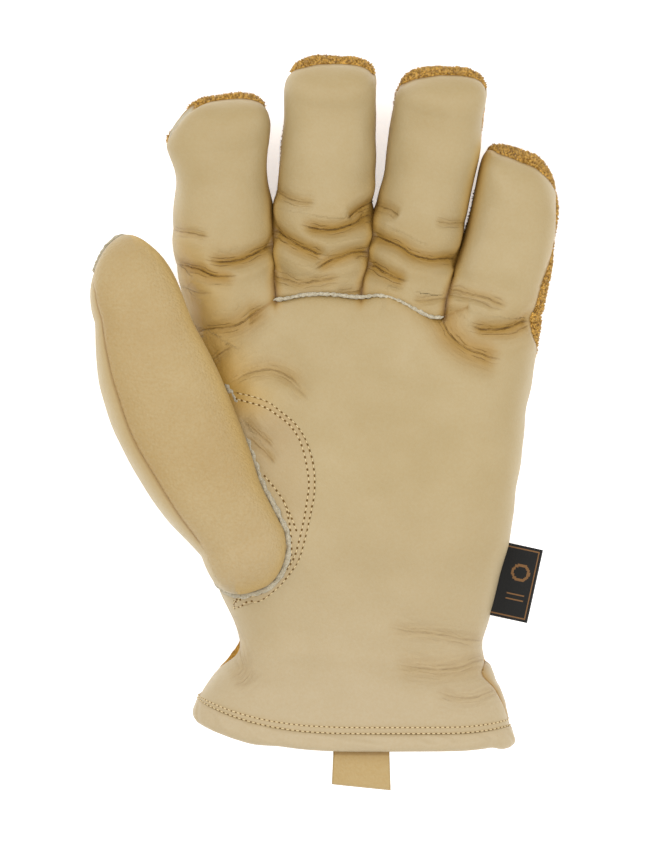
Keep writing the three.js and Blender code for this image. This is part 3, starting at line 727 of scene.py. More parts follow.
def hand_side(*fingers):
    """The palm with these fingers only."""
    return lambda points: joined(
        palm.distance(points), [finger.distance(points) for finger in fingers], points,
    )


def closest(points, limbs):
    """How far points lie from the nearest of some limbs."""
    return np.minimum.reduce([limb.distance(points) for limb in limbs])


def finger_panels(points):
    """Above nought where the middle and ring fingers have their own front panels."""
    above = points[:, 1] - seam_line_height(points[:, 0])
    nearer = closest(points, (index, little)) - closest(points, (middle, ring))
    return np.minimum(above, nearer)


# Where the cream front ends short of each fingertip, as seen from above, from its left side to its right
CREAM_EDGES = {
    "index": table(POINT, [
        (-64.5, 103.2), (-59.8, 108.5), (-57.8, 111.2), (-54.9, 114.4), (-52.3, 117.0), (-49.1, 119.2),
        (-45.8, 121.1), (-42.5, 122.2), (-38.6, 122.8), (-34.1, 123.0), (-30.2, 122.6), (-26.9, 121.9),
        (-24.4, 120.8), (-22.7, 119.2), (-21.7, 116.9),
    ]),
    "middle": table(POINT, [
        (-15.5, 130.6), (-14.0, 132.2), (-11.7, 133.4), (-8.2, 134.2), (-3.6, 135.2), (2.1, 135.7),
        (7.9, 136.2), (12.5, 135.8), (15.3, 134.9), (17.1, 133.8), (18.8, 131.9),
    ]),
    "ring": table(POINT, [
        (26.9, 126.2), (28.0, 127.9), (30.9, 129.6), (34.3, 130.7), (38.9, 131.4), (43.5, 131.9),
        (48.1, 131.7), (53.8, 131.3), (57.3, 130.7), (59.6, 129.8), (60.8, 128.9), (61.7, 125.7),
    ]),
    "little": table(POINT, [
        (57.1, 97.4), (58.5, 99.7), (60.2, 101.4), (62.5, 102.2), (65.4, 102.2), (68.8, 101.7),
        (72.2, 100.3), (76.2, 98.6), (79.6, 97.2), (83.0, 94.6), (85.9, 91.8), (87.9, 89.2), (88.9, 86.3),
    ]),
}
# How steeply the front's edge leaves a fingertip's sides, where only the side seams count
SIDES_LIFT = 12.0
# A limb with no suede round its tip counts as this far short of it
NO_TIP = 30.0
# How far the cream front reaches along the hand's outer side, by the little finger
SIDE_EDGE = table(POINT, [
    (95.0, 10.0), (82.8, 26.6), (80.4, 31.2), (78.9, 35.4), (77.9, 39.6), (78.6, 40.8), (80.4, 43.5),
    (81.6, 47.7), (83.4, 54.0), (84.6, 57.8), (86.8, 64.2), (88.7, 71.1), (89.1, 78.7), (89.5, 86.3),
    (99.0, 96.0),
])


def short_of_cap(finger, points):
    """How far short of the front's edge at the fingertip points lie."""
    edge = along_path(CREAM_EDGES[finger.name], 120)
    out = np.maximum(edge[0, 0] - points[:, 0], points[:, 0] - edge[-1, 0])
    return np.interp(points[:, 0], edge[:, 0], edge[:, 1]) - points[:, 1] + SIDES_LIFT * np.maximum(out, 0)


def read_off(path, at, column, result):
    """One column of a path's table where the other has given values."""
    return np.interp(at, [getattr(p, column) for p in path], [getattr(p, result) for p in path])


def short_of_side(points):
    """How far short of the front's edge by the little finger points lie."""
    return read_off(SIDE_EDGE, points[:, 1], "y", "x") - points[:, 0]


def front_value(points):
    """Above nought in front of the side seams and short of the suede that wraps round the fingertips."""
    limbs = [palm] + FINGERS
    near = np.stack([limb.distance(points) for limb in limbs])
    weight = np.exp(-np.clip(near - near.min(0), 0, 30) / 1.6)
    weight /= weight.sum(0)
    above = np.stack([limb.above_seam(points) for limb in limbs])
    tip = np.stack([np.full(len(points), NO_TIP)] + [short_of_cap(f, points) for f in FINGERS])
    edge = np.minimum((weight * tip).sum(0), short_of_side(points))
    return join((weight * above).sum(0), edge, 1.5)


Slope = namedtuple("Slope", "x y rise run")
WAIST_SEAM = Slope(-75, -105, 19, 185)


def cuff_back_value(points):
    """Above nought below the slanting waist seam, where the back is the cuff's own leather."""
    x, y = points[:, 0], points[:, 1]
    return WAIST_SEAM.y + (x - WAIST_SEAM.x) * WAIST_SEAM.rise / WAIST_SEAM.run - y


def hem_value(points):
    """How far above the hem points lie."""
    x, y = points[:, 0], points[:, 1]
    return unlifted(x, y) - HEM_TOP


def under_fingers(points):
    """How far points lie in plan from the raw-edged seam under the middle and ring fingers."""
    return np.abs(beside_path(points[:, :2], FINGER_SEAM, 8)[0])


def contact(points):
    """How far points on one finger lie from the next, above the seam under the fingers."""
    near = np.sort(np.stack([finger.distance(points) for finger in FINGERS]), axis=0)
    below = np.maximum(seam_line_height(points[:, 0]) - points[:, 1] - 1, 0)
    return near[1] - near[0] + below


def groove(gap, depth, width):
    """How far the leather dips beside a seam."""
    return -depth * bell(gap, width)


# The gathers at the waist: how far up and down they reach, and their heights and widths
GATHERED = 13
FINE_PLEAT = (0.9, 1.55)
BROAD_PLEAT = (0.5, 2.6)


def pleats(points):
    """The back drawn up by the elastic at the waist."""
    x, y, _ = points.T
    fade = bell(y - WAIST, GATHERED)
    wander = 0.6 * np.sin(y / 6) + 0.8 * np.sin(y / 11 + 1)
    inwards = easing(-front_value(points) / 9)
    fine = FINE_PLEAT[0] * np.sin((x + wander) / FINE_PLEAT[1])
    broad = BROAD_PLEAT[0] * np.sin((x - wander) / BROAD_PLEAT[1] + 0.7)
    return inwards * fade * (fine + broad)


# Beside a seam the leather dips in a narrow furrow and a shallow wide one
FURROW = 1.3
WIDE_DIP = 0.4
WIDE_FURROW = 4.0
# How far from a touching finger the painted dark contact shade and the painted golden shade reach, and how
# far from the thumb the painted golden shade reaches
TOUCHING = 1.4
BY_FINGER = 3.2
BY_THUMB = 8.5
# Below this height above the hem the thumb side's seams don't dip
ABOVE_HEM = 6


def dress(skin, seed, limbs, seams, depth=0.6, softness=1.0):
    """Gives a panel its lumps, folds and dipped edges, and the values that its leather is coloured by,
    which paint shade and light into it.
    """
    points, values = skin.points, skin.values
    across, _, upward = values["normal"].T
    on_thumb = limbs == [thumb]
    pressed = np.full(len(points), FAR) if on_thumb else contact(points)
    move = softness * lumps(points, seed) * easing(pressed / 4) + press_folds(skin, limbs)
    move += 0.3 * bell(pressed, 1.5)
    dip = np.zeros(len(points))
    for value in seams:
        gap = value(points)
        dip = np.minimum(dip, groove(gap, depth, FURROW) + groove(gap, WIDE_DIP, WIDE_FURROW))
    # Painted dark shade where fingers touch, painted shade along each seam's dip, and painted golden shade
    # near a touching finger
    values["contact_shade"] = bell(pressed, TOUCHING)
    values["seam"] = np.clip(-dip / (depth + WIDE_DIP), 0, 1)
    values["painted_shade"] = np.maximum(values["painted_shade"], bell(pressed, BY_FINGER))
    # Painted light and shade on steep sides: golden shade where they face other fingers or the thumb's
    # right-facing side, and a paler painted light on the others
    steep = easing((0.97 - np.abs(upward)) / 0.7)
    if on_thumb:
        values["side_shade"] = 0.5 * steep * (across > 0)
        values["side_light"] = steep * (across < 0)
    else:
        off_thumb = np.maximum(thumb.distance(points), 0)
        above_patch = easing((points[:, 1] + 4) / 18)
        beside_thumb = above_patch * bell(off_thumb, 11)
        # Painted golden shade on the palm beside the thumb, above the patch
        values["painted_shade"] = np.maximum(values["painted_shade"], above_patch * bell(off_thumb, BY_THUMB))
        values["side_shade"] = np.maximum(steep * bell(pressed, 6), beside_thumb)
        values["side_light"] = steep * (1 - bell(pressed, 14)) * (1 - beside_thumb)
    by_hem = easing((ABOVE_HEM - hem_value(points)) / 5) * (points[:, 0] < 0)
    return skin.moved(move + dip * (1 - by_hem))


# Meshes


def put_in(name, data):
    """A new object in the scene."""
    made = bpy.data.objects.new(name, data)
    bpy.context.collection.objects.link(made)
    return made


def new_mesh(name, points, faces, values=None):
    """A mesh object in metres from points in millimetres."""
    mesh = bpy.data.meshes.new(name)
    rows = faces.tolist() if isinstance(faces, np.ndarray) else faces
    mesh.from_pydata((np.asarray(points) * MM).tolist(), [], rows)
    for key, value in (values or {}).items():
        if value.ndim == 1:
            mesh.attributes.new(key, "FLOAT", "POINT").data.foreach_set("value", value.astype(np.float32))
        elif key != "normal":
            mesh.attributes.new(key, "FLOAT_VECTOR", "POINT").data.foreach_set("vector", value.ravel())
    mesh.polygons.foreach_set("use_smooth", [True] * len(mesh.polygons))
    mesh.update()
    return put_in(name, mesh)


def belongs(piece, nodes):
    """The piece rides on the glove and stands for these pieces of the frame."""
    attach(piece, "root")
    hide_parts(*nodes)
    return piece


# The slots of the panels whose cut edges show their flesh side
SHOW_FLESH = ("suede", "patch_leather")


def finished(name, points, faces, values, materials, node=None):
    """A piece of the glove with its materials."""
    piece = new_mesh(name, points, faces, values)
    for material in materials:
        piece.data.materials.append(material)
    return belongs(piece, [node or name])


def panel(name, skin, outer, slot, wall=WALL):
    """A panel: its skin with the wall's thickness behind it, suede or leather outside."""
    skin.points[:, 2] = np.maximum(skin.points[:, 2], 0)
    piece = finished(name, skin.points, skin.faces, skin.values, (outer, flesh_side))
    thick = piece.modifiers.new("wall", "SOLIDIFY")
    thick.thickness = wall * MM
    thick.offset = -1
    thick.material_offset = 1
    thick.material_offset_rim = int(slot in SHOW_FLESH)


def tube_faces(rings, size):
    """Four-sided faces round the points of each ring and on to the next ring."""
    return [
        (ring + i, ring + (i + 1) % size, ring + size + (i + 1) % size, ring + size + i)
        for ring in range(0, (rings - 1) * size, size) for i in range(size)
    ]


BEAD_SIDES = 10
BEAD_WAVES = 14
BEAD_LUMP = 0.075
# Its width and height for its radius
BEAD_WIDE = 0.95
BEAD_TALL = 1.1


def bead(name, path, up, radius, seed, node=None):
    """A raw edge that stands in a seam: a lumpy strip along a path, with up its outward direction."""
    rng = np.random.default_rng(seed)
    angles = np.arange(BEAD_SIDES) * 2 * math.pi / BEAD_SIDES
    along = unit(np.gradient(path, axis=0))
    across = unit(np.cross(along, up))
    upward = np.cross(across, along)
    count = len(path)
    places = np.arange(count)
    lump = np.zeros((count, BEAD_SIDES))
    for _ in range(BEAD_WAVES):
        wave = rng.uniform(0.15, 1.3)
        turn = rng.integers(0, 4)
        start = rng.uniform(0, PHASES)
        lump += BEAD_LUMP * np.sin(places[:, None] * wave + turn * angles[None, :] + start)
    ends = np.clip(np.minimum(places, places[::-1]) / 3, 0.25, 1)
    size = radius * (1 + lump) * ends[:, None]
    rings = (
        path[:, None, :]
        + across[:, None, :] * (size * np.cos(angles))[:, :, None] * BEAD_WIDE
        + upward[:, None, :] * (size * np.sin(angles))[:, :, None] * BEAD_TALL
    )
    first_cap = tuple(range(BEAD_SIDES))[::-1]
    last_cap = tuple(range((count - 1) * BEAD_SIDES, count * BEAD_SIDES))
    faces = tube_faces(count, BEAD_SIDES) + [first_cap, last_cap]
    return finished(name, rings.reshape(-1, 3), faces, None, [raw_edge], node)


def drop(distance, plan, start=75.0):
    """Where points in plan land when they are let down onto a form from above."""
    points = np.column_stack([plan, np.full(len(plan), start)])
    for _ in range(80):
        points[:, 2] -= np.clip(distance(points) * 0.8, -2, 4)
    return points


def between(points, first, second, rounds=14, stride=0.7):
    """The points moved to where two forms meet, by a share of the way at a time."""
    for _ in range(rounds):
        for distance in (first, second):
            slope = gradient(distance, points)
            steep = np.maximum((slope**2).sum(1), 0.1)
            points = points - stride * (distance(points) / steep)[:, None] * slope
    return points


def palm_point(along, turn, grow, floor=0.0):
    """A point on the palm's oval section, grown outwards or inwards."""
    left, right = palm.at("left", along) - grow, palm.at("right", along) + grow
    middle_height = palm.at("middle", along)
    depth_front = palm.at("front", along) + grow - middle_height
    depth_back = middle_height - palm.at("back", along) + grow
    side, rise = (np.sign(v) * np.abs(v) ** (2 / palm.square) for v in (np.cos(turn), np.sin(turn)))
    x = (left + right) / 2 + (right - left) / 2 * side
    z = middle_height + rise * np.where(rise > 0, depth_front, depth_back)
    y = along + cuff_lift(x, np.broadcast_to(along, x.shape))
    return np.stack([x, y, np.maximum(z, floor)], -1)


# Things that repeat, made with Geometry Nodes


class Nodes:
    """A tree of nodes."""

    def __init__(self, tree):
        self.tree = tree

    def node(self, kind, inputs=None, **settings):
        """A node with its settings, and its inputs given as values or as the outputs of other nodes."""
        made = self.tree.nodes.new(kind)
        for key, value in settings.items():
            setattr(made, key, value)
        for key, value in (inputs or {}).items():
            if isinstance(value, bpy.types.NodeSocket):
                self.tree.links.new(value, made.inputs[key])
            else:
                made.inputs[key].default_value = value
        return made


class Tree(Nodes):
    """A tree of Geometry Nodes with named inputs."""

    def __init__(self, name, *sizes):
        super().__init__(bpy.data.node_groups.new(name, "GeometryNodeTree"))
        self.add_socket("Geometry", "NodeSocketGeometry")
        self.tree.interface.new_socket("Geometry", in_out="OUTPUT", socket_type="NodeSocketGeometry")
        self.start = self.tree.nodes.new("NodeGroupInput")
        self.end = self.tree.nodes.new("NodeGroupOutput")
        for size in sizes:
            self.add_socket(size, "NodeSocketFloat", 0.001)

    def add_socket(self, name, kind, default=None):
        socket = self.tree.interface.new_socket(name, in_out="INPUT", socket_type=kind)
        if default is not None:
            socket.default_value = default

    def given(self, name):
        return self.start.outputs[name]

    def finish(self, instances, material):
        real = self.node("GeometryNodeRealizeInstances", {"Geometry": instances})
        smooth = self.node("GeometryNodeSetShadeSmooth", {"Geometry": real.outputs[0]})
        dressed = self.node("GeometryNodeSetMaterial", {
            "Geometry": smooth.outputs[0], "Material": material,
        })
        self.tree.links.new(dressed.outputs[0], self.end.inputs[0])
        return self.tree


def made_real(name, base, tree, values):
    """Runs a tree on a base object and keeps the result as a plain mesh."""
    modifier = base.modifiers.new("repeat", "NODES")
    modifier.node_group = tree
    for item in tree.interface.items_tree:
        if item.item_type == "SOCKET" and item.in_out == "INPUT" and item.name in values:
            modifier[item.identifier] = values[item.name]
    graph = bpy.context.evaluated_depsgraph_get()
    mesh = bpy.data.meshes.new_from_object(base.evaluated_get(graph))
    mesh.name = name
    base.modifiers.remove(modifier)
    bpy.data.objects.remove(base)
    return put_in(name, mesh)


def grain_tree(name, material):
    """Small rounded grains, one on every point, turned to lie along it."""
    tree = Tree(name, "Length", "Width", "Height")
    tangent, outward = (
        tree.node("GeometryNodeInputNamedAttribute", {"Name": kept}, data_type="FLOAT_VECTOR").outputs[0]
        for kept in ("tangent", "outward")
    )
    turn = tree.node("FunctionNodeAxesToRotation", {
        "Primary Axis": tangent, "Secondary Axis": outward,
    }, primary_axis="X", secondary_axis="Z")
    ball = tree.node("GeometryNodeMeshUVSphere", {"Segments": 8, "Rings": 5, "Radius": 0.5})
    size = tree.node("ShaderNodeCombineXYZ", {
        "X": tree.given("Length"), "Y": tree.given("Width"), "Z": tree.given("Height"),
    })
    put = tree.node("GeometryNodeInstanceOnPoints", {
        "Points": tree.given("Geometry"),
        "Instance": ball.outputs["Mesh"],
        "Rotation": turn.outputs[0],
        "Scale": size.outputs[0],
    })
    return tree.finish(put.outputs[0], material)


def fibre_tree(name, material):
    """Short fibres that stand on a surface, each leaning a random way."""
    tree = Tree(name, "Density", "Length", "Width", "Lean")
    tree.add_socket("Seed", "NodeSocketInt", 1)
    spread = tree.node("GeometryNodeDistributePointsOnFaces", {
        "Mesh": tree.given("Geometry"), "Density": tree.given("Density"), "Seed": tree.given("Seed"),
    })
    lean = tree.node("FunctionNodeRandomValue", {
        "Min": (-1.0, -1.0, -1.0), "Max": (1.0, 1.0, 1.0), "Seed": tree.given("Seed"),
    }, data_type="FLOAT_VECTOR")
    bent = tree.node("ShaderNodeVectorMath", {
        0: lean.outputs["Value"], "Scale": tree.given("Lean"),
    }, operation="SCALE")
    aim = tree.node("ShaderNodeVectorMath", {
        0: spread.outputs["Normal"], 1: bent.outputs[0],
    }, operation="ADD")
    turn = tree.node("FunctionNodeAlignRotationToVector", {"Vector": aim.outputs[0]}, axis="Z")
    spike = tree.node("GeometryNodeMeshCone", {
        "Vertices": 3, "Radius Bottom": tree.given("Width"), "Depth": tree.given("Length"),
    }, fill_type="NONE")
    size = tree.node("FunctionNodeRandomValue", {
        2: 0.5, 3: 1.3, "Seed": tree.given("Seed"),
    }, data_type="FLOAT")
    put = tree.node("GeometryNodeInstanceOnPoints", {
        "Points": spread.outputs["Points"],
        "Instance": spike.outputs["Mesh"],
        "Rotation": turn.outputs[0],
        "Scale": size.outputs[1],
    })
    return tree.finish(put.outputs[0], material)


Places = namedtuple("Places", "points tangents normals")


def spaced(path, pitch):
    """Points a fixed pitch apart along a path in space."""
    fine = along_path(path, 12 * len(path))
    run = run_along(fine)
    return points_at(np.arange(0, run[-1], pitch), run, fine)


def settle(points, surface):
    """Points moved onto the nearest place of a finished surface, with its directions there."""
    found = [surface.find_nearest(Vector(p)) for p in points]
    on, normals = (np.array([hit[k] for hit in found]) for k in (0, 1))
    return Places(on, unit(np.gradient(on, axis=0), TINY), normals)


def surface_of(*skins):
    """The skins together, to put stitches on."""
    points, faces, start = [], [], 0
    for skin in skins:
        points.append(skin.points)
        faces.append(skin.faces + start)
        start += len(skin.points)
    return BVHTree.FromPolygons(np.concatenate(points).tolist(), np.concatenate(faces).tolist())


def repeated(name, places, height, tree, sizes, nodes):
    """Grains on places, set above the surface by a height."""
    base = new_mesh(name + "_places", places.points + places.normals * height, [], {
        "tangent": places.tangents.astype(np.float32), "outward": places.normals.astype(np.float32),
    })
    grains = made_real(name, base, tree, {key: value * MM for key, value in sizes.items()})
    return belongs(grains, nodes)


# Materials


class Finish(Nodes):
    """A material's nodes round one Principled shader."""

    def __init__(self, name, roughness, sheen=0.0, shine=0.5):
        self.material = bpy.data.materials.new(name)
        self.material.use_nodes = True
        super().__init__(self.material.node_tree)
        self.shader = self.tree.nodes["Principled BSDF"]
        self.give("Roughness", roughness)
        self.give("Sheen Weight", sheen)
        self.give("Specular IOR Level", shine)
        self.place = self.node("ShaderNodeTexCoord").outputs["Object"]
        self.relief = None

    def give(self, name, value):
        """A plain value for the shader."""
        self.shader.inputs[name].default_value = value

    def noise(self, size, detail=3.0, where=None, rough=0.55):
        """Noise whose blobs are about this size in millimetres."""
        made = self.node("ShaderNodeTexNoise", {
            "Vector": where or self.place, "Scale": 1 / (size * MM), "Detail": detail, "Roughness": rough,
        })
        return made.outputs["Fac"]

    def mottled(self, size, detail, low, high, to_low=0.0, to_high=1.0, rough=0.55):
        """Noise stretched between two values."""
        return self.between(self.noise(size, detail, rough=rough), low, high, to_low, to_high)

    def cells(self, size):
        """The distance to the middle of cells of about this size in millimetres."""
        made = self.node("ShaderNodeTexVoronoi", {
            "Vector": self.place, "Scale": 1 / (size * MM), "Randomness": 1.0,
        })
        return made.outputs["Distance"]

    def value(self, name):
        """A number kept at the points."""
        return self.node("ShaderNodeAttribute", attribute_name=name).outputs["Fac"]

    def share_of(self, name, strength):
        return self.times(self.value(name), strength)

    def parts(self, name):
        """The three parts of a vector kept at the points."""
        vector = self.node("ShaderNodeAttribute", attribute_name=name).outputs["Vector"]
        return self.node("ShaderNodeSeparateXYZ", {0: vector}).outputs

    def math(self, operation, a, b=0.0):
        return self.node("ShaderNodeMath", {0: a, 1: b}, operation=operation).outputs[0]

    def vector(self, x, y):
        return self.node("ShaderNodeCombineXYZ", {"X": x, "Y": y}).outputs[0]

    def between(self, value, low, high, to_low=0.0, to_high=1.0):
        made = self.node("ShaderNodeMapRange", {
            "Value": value, "From Min": low, "From Max": high, "To Min": to_low, "To Max": to_high,
        })
        return made.outputs["Result"]

    def times(self, a, b):
        return self.math("MULTIPLY", a, b)

    def blend(self, share, a, b):
        return self.node("ShaderNodeMix", {0: share, 6: a, 7: b}, data_type="RGBA").outputs[2]

    def colour(self, socket):
        self.tree.links.new(socket, self.shader.inputs["Base Color"])

    def raise_by(self, height, depth):
        """Adds relief of a depth in millimetres."""
        inputs = {"Height": height, "Distance": depth * MM, "Strength": 1.0}
        if self.relief:
            inputs["Normal"] = self.relief
        self.relief = self.node("ShaderNodeBump", inputs).outputs["Normal"]
        self.tree.links.new(self.relief, self.shader.inputs["Normal"])


def linear(red, green, blue):
    """A colour read as it looks, 0 to 255, for a shader."""
    out = [c / 255 / 12.92 if c <= 10 else ((c / 255 + 0.055) / 1.055) ** 2.4 for c in (red, green, blue)]
    return (*out, 1.0)


LINE_WIDTH = 0.42
# Fainter lines beside each fold: how far off, and the size of their breaks
COMPANIONS = [(1.4, 5.0), (-1.8, 6.5)]


def fold_lines(finish):
    """The thin dark line at the bottom of each fold, partly the creased grain's own colour and partly
    painted shade, and the fine wrinkles beside it.
    """
    lines, wrinkles = [], []
    for letter in "ab":
        gap, run, strength = finish.parts("fold_" + letter)
        ragged = finish.mottled(2.2, 3, 0.3, 0.7, -0.18, 0.18)
        away = finish.math("ABSOLUTE", finish.math("ADD", gap, ragged))
        broken = finish.mottled(5.0, 2, 0.35, 0.6, 0.45, 1.0)
        line = finish.times(finish.between(away, 0.08, LINE_WIDTH, 1.0, 0.0), broken)
        for beside, size in COMPANIONS:
            wander = finish.mottled(size, 2, 0.3, 0.7, beside - 0.5, beside + 0.5)
            off = finish.math("ABSOLUTE", finish.math("ADD", gap, wander))
            thin = finish.between(off, 0.05, 0.3, 0.5, 0.0)
            here = finish.mottled(size + 1.5, 1, 0.45, 0.55)
            line = finish.math("MAXIMUM", line, finish.times(thin, here))
        lines.append(finish.times(line, strength))
        spread = finish.vector(finish.times(gap, MM), finish.times(run, 0.16 * MM))
        ridge = finish.noise(1.5, 2, spread, 0.5)
        wrinkles.append(finish.times(finish.between(ridge, 0.42, 0.56), finish.value("near_" + letter)))
    return finish.math("MAXIMUM", *lines), finish.math("MAXIMUM", *wrinkles)


def leather(name, light, deep, grain=0.8, pebble=0.05, unevenness=0.3, mottle=0.12, pale=0.7):
    """Cream full-grain leather with a fine grain, and painted shade and light: golden at its sides, in its
    folds and seams, dark where fingers touch, paler on free sides.
    """
    finish = Finish(name, 0.5, shine=0.35)
    up = finish.node("ShaderNodeSeparateXYZ", {0: finish.place}).outputs["Y"]
    line, wrinkle = fold_lines(finish)
    base = linear(*light)
    for share, colour in (
        (finish.mottled(42, 3, 0.35, 0.65), deep),
        (finish.between(up, -0.02, -0.105, 0.0, pale), CUFF_PALE),
        (finish.mottled(1.1, 3, 0.3, 0.7, 0.0, mottle), GOLD_TONE_AND_SHADE),
        # Painted light on free sides, and painted golden shade on steep sides, in and around folds and
        # along seams
        (finish.share_of("side_light", 0.3), SIDE_LIGHT_PALE),
        (finish.share_of("side_shade", 0.75), SIDE_SHADE_GOLD),
        (finish.share_of("painted_shade", 0.75), GOLD_TONE_AND_SHADE),
        (finish.share_of("seam", 0.3), GOLD_TONE_AND_SHADE),
        # A darker joint at each seam's bottom, partly its own colour and partly painted shade
        (finish.between(finish.value("seam"), 0.8, 1.0, 0.0, 0.45), SEAM_AND_SHADE_BROWN),
        (finish.value("raw"), RAW_GREY),
        # Painted dark shade where fingers touch; darker wrinkles and fold lines, painted shade in the
        # creases, partly the creased grain's own colour
        (finish.share_of("contact_shade", 0.9), CREASE_AND_SHADE_BROWN),
        (finish.times(wrinkle, 0.1), CREASE_AND_SHADE_BROWN),
        (finish.times(line, 0.72), CREASE_AND_SHADE_BROWN),
    ):
        base = finish.blend(share, base, linear(*colour))
    finish.colour(base)
    finish.tree.links.new(finish.mottled(9, 3, 0.3, 0.7, 0.44, 0.58), finish.shader.inputs["Roughness"])
    for height, depth in (
        (finish.noise(9, 2), unevenness),
        (finish.times(wrinkle, -1.0), 0.09),
        (finish.times(line, -1.0), 0.35),
        (finish.cells(grain), pebble),
        (finish.noise(0.45, 2), 0.025),
    ):
        finish.raise_by(height, depth)
    return finish.material


def suede_leather(name, light, deep):
    """Napped suede: fuzzy, mottled golden brown."""
    finish = Finish(name, 0.95, sheen=0.12, shine=0.1)
    finish.give("Sheen Roughness", 0.5)
    finish.give("Sheen Tint", linear(*light))
    base = finish.blend(finish.mottled(9, 4, 0.35, 0.65), linear(*light), linear(*deep))
    tufts = finish.mottled(0.9, 3, 0.35, 0.65, 0.0, 0.7, rough=0.7)
    base = finish.blend(tufts, base, linear(*[c * 0.6 for c in deep]))
    finish.colour(finish.blend(finish.value("raw"), base, linear(*RAW_GREY)))
    finish.raise_by(finish.noise(1.1, 4, rough=0.7), 1.0)
    finish.raise_by(finish.noise(0.35, 2), 0.25)
    return finish.material


def plain_finish(name, light, deep, roughness, size=1.5, relief=0.15, sheen=0.0, spread=0.2):
    """One colour with a slight mottle and a rough face."""
    finish = Finish(name, roughness, sheen, 0.25)
    mottle = finish.mottled(size, 4, 0.5 - spread, 0.5 + spread)
    finish.colour(finish.blend(mottle, linear(*light), linear(*deep)))
    finish.raise_by(finish.noise(size * 0.4, 3), relief)
    return finish.material


WHOLE_TURN = 2 * math.pi
# How far apart the tape's threads lie
THREADS = [("X", 0.42), ("Y", 0.34)]


def woven(name, light, deep):
    """Fine woven tape."""
    finish = Finish(name, 0.75, sheen=0.1, shine=0.3)
    split = finish.node("ShaderNodeSeparateXYZ", {0: finish.place})
    weave = finish.times(*(
        finish.math("SINE", finish.times(split.outputs[axis], WHOLE_TURN / (thread * MM)))
        for axis, thread in THREADS
    ))
    finish.colour(finish.blend(finish.between(weave, -1, 1), linear(*light), linear(*deep)))
    finish.raise_by(weave, 0.06)
    return finish.material


# Dark brown of fold lines, partly the creased grain's own colour and partly painted shade, and of painted
# contact shade
CREASE_AND_SHADE_BROWN = (86, 56, 12)
# The fine mottle's own darker tone, and painted golden shade in folds, along seams and by fingers and the
# thumb
GOLD_TONE_AND_SHADE = (146, 107, 22)
RAW_GREY = (186, 176, 152)
CUFF_PALE = (168, 152, 123)
# Painted light on steep sides that face no other finger
SIDE_LIGHT_PALE = (182, 169, 140)
# Painted golden shade on steep sides by other fingers
SIDE_SHADE_GOLD = (206, 172, 100)
# Darker joint at the bottom of a seam's dip, partly its own colour and partly painted shade
SEAM_AND_SHADE_BROWN = (122, 88, 32)
cream = leather("cream_leather", (163, 145, 107), (156, 137, 97))
thumb_cream = leather("thumb_leather", (164, 143, 101), (158, 135, 92), 1.0, 0.2, 0.4, 0.24)
# A lighter copy of the thumb's leather: painted light on the side strip that faces the light
thumb_side_lit = leather("thumb_side_leather", (172, 154, 116), (166, 146, 106), 1.0, 0.12, 0.3, 0.1)
patch_cream = leather("patch_leather", (162, 143, 106), (155, 134, 97), 0.8, 0.05, 0.2)
hem_cream = leather("hem_leather", (169, 152, 118), (163, 145, 109))
tab_cream = leather("tab_leather", (172, 149, 104), (164, 140, 94), 1.0, 0.14, 0.3, 0.2, 0.0)
suede = suede_leather("suede", (198, 150, 66), (162, 116, 42))
suede_nap = plain_finish("suede_nap", (226, 180, 90), (138, 98, 36), 0.95, 1.1, 0.02, 0.1, 0.1)
raw_edge = plain_finish("raw_edge", (192, 183, 161), (150, 139, 113), 0.9, 0.7, 0.3, 0.2)
flesh_side = plain_finish("flesh_side", (184, 163, 126), (166, 142, 102), 0.95, 1.2, 0.3, 0.3)
golden_thread = plain_finish("golden_thread", (206, 188, 148), (188, 165, 120), 0.6, 0.3, 0.05)
# Dark grains painted as the shade inside the needle holes
needle_hole = plain_finish("needle_hole", (112, 82, 34), (88, 62, 24), 0.95, 0.5, 0.02)
black_tape = woven("black_tape", (24, 23, 21), (11, 11, 10))
bronze_thread = woven("bronze_thread", (134, 96, 56), (104, 72, 40))


# The skins


def prepared(distance, low, high, step, *limits):
    """A skin over a form between two corners of a box, kept where every limit is above nought."""
    skin = skin_over(distance, low, high, step)
    for limit in limits:
        skin = skin.keep(limit(skin.points))
    return skin


# How far palm and thumb run on inside each other
UNDER_THUMB = 1.2
INTO_HAND = 1.0
# How far each side of a seam stands back from it
SEAM_GAP = 0.05
CREAM_GAP = 0.01


def beside_thumb(points):
    return thumb.distance(points) + UNDER_THUMB


def outside_hand(points):
    return palm_side(points) + INTO_HAND


def less(value, gap):
    """A limit moved inwards by a gap."""
    return lambda points: value(points) - gap


def opposite(value, gap=0.0):
    """A limit on the other side of a line, moved off it by a gap."""
    return lambda points: -value(points) - gap


def beyond_knuckles(points):
    """Above nought on the fingers' side of their backs' seam."""
    return points[:, 1] - read_off(KNUCKLES, points[:, 0], "x", "y")


def nearest_finger(finger):
    """Above nought where a finger is the nearest one."""
    others = [other for other in FINGERS if other is not finger]
    return lambda points: closest(points, others) - finger.distance(points)


def thumb_seam_groove(points):
    """The thumb's seam, which lies smooth at the thumb's root."""
    along = thumb.to_local(points)[0]
    return np.hypot(thumb.above_seam(points), 6 * easing((27 - along) / 12))


PALM_LIMBS = [palm, index, little]
HAND_SEED = 3
THUMB_SEED = 9
palm_skin = prepared(
    palm_side, (-64, -123, 8), (94, 128, 52), PALM_GRID,
    less(front_value, CREAM_GAP), opposite(finger_panels, 0.1), hem_value, beside_thumb,
)
at_rows = hem_value(palm_skin.points) < 5
palm_skin = palm_skin.finer(at_rows | near_folds(palm_skin.points, PALM_LIMBS), palm_side)
palm_skin = dress(palm_skin, HAND_SEED, PALM_LIMBS, [front_value, under_fingers])
skins = {"palm_panel": palm_skin}

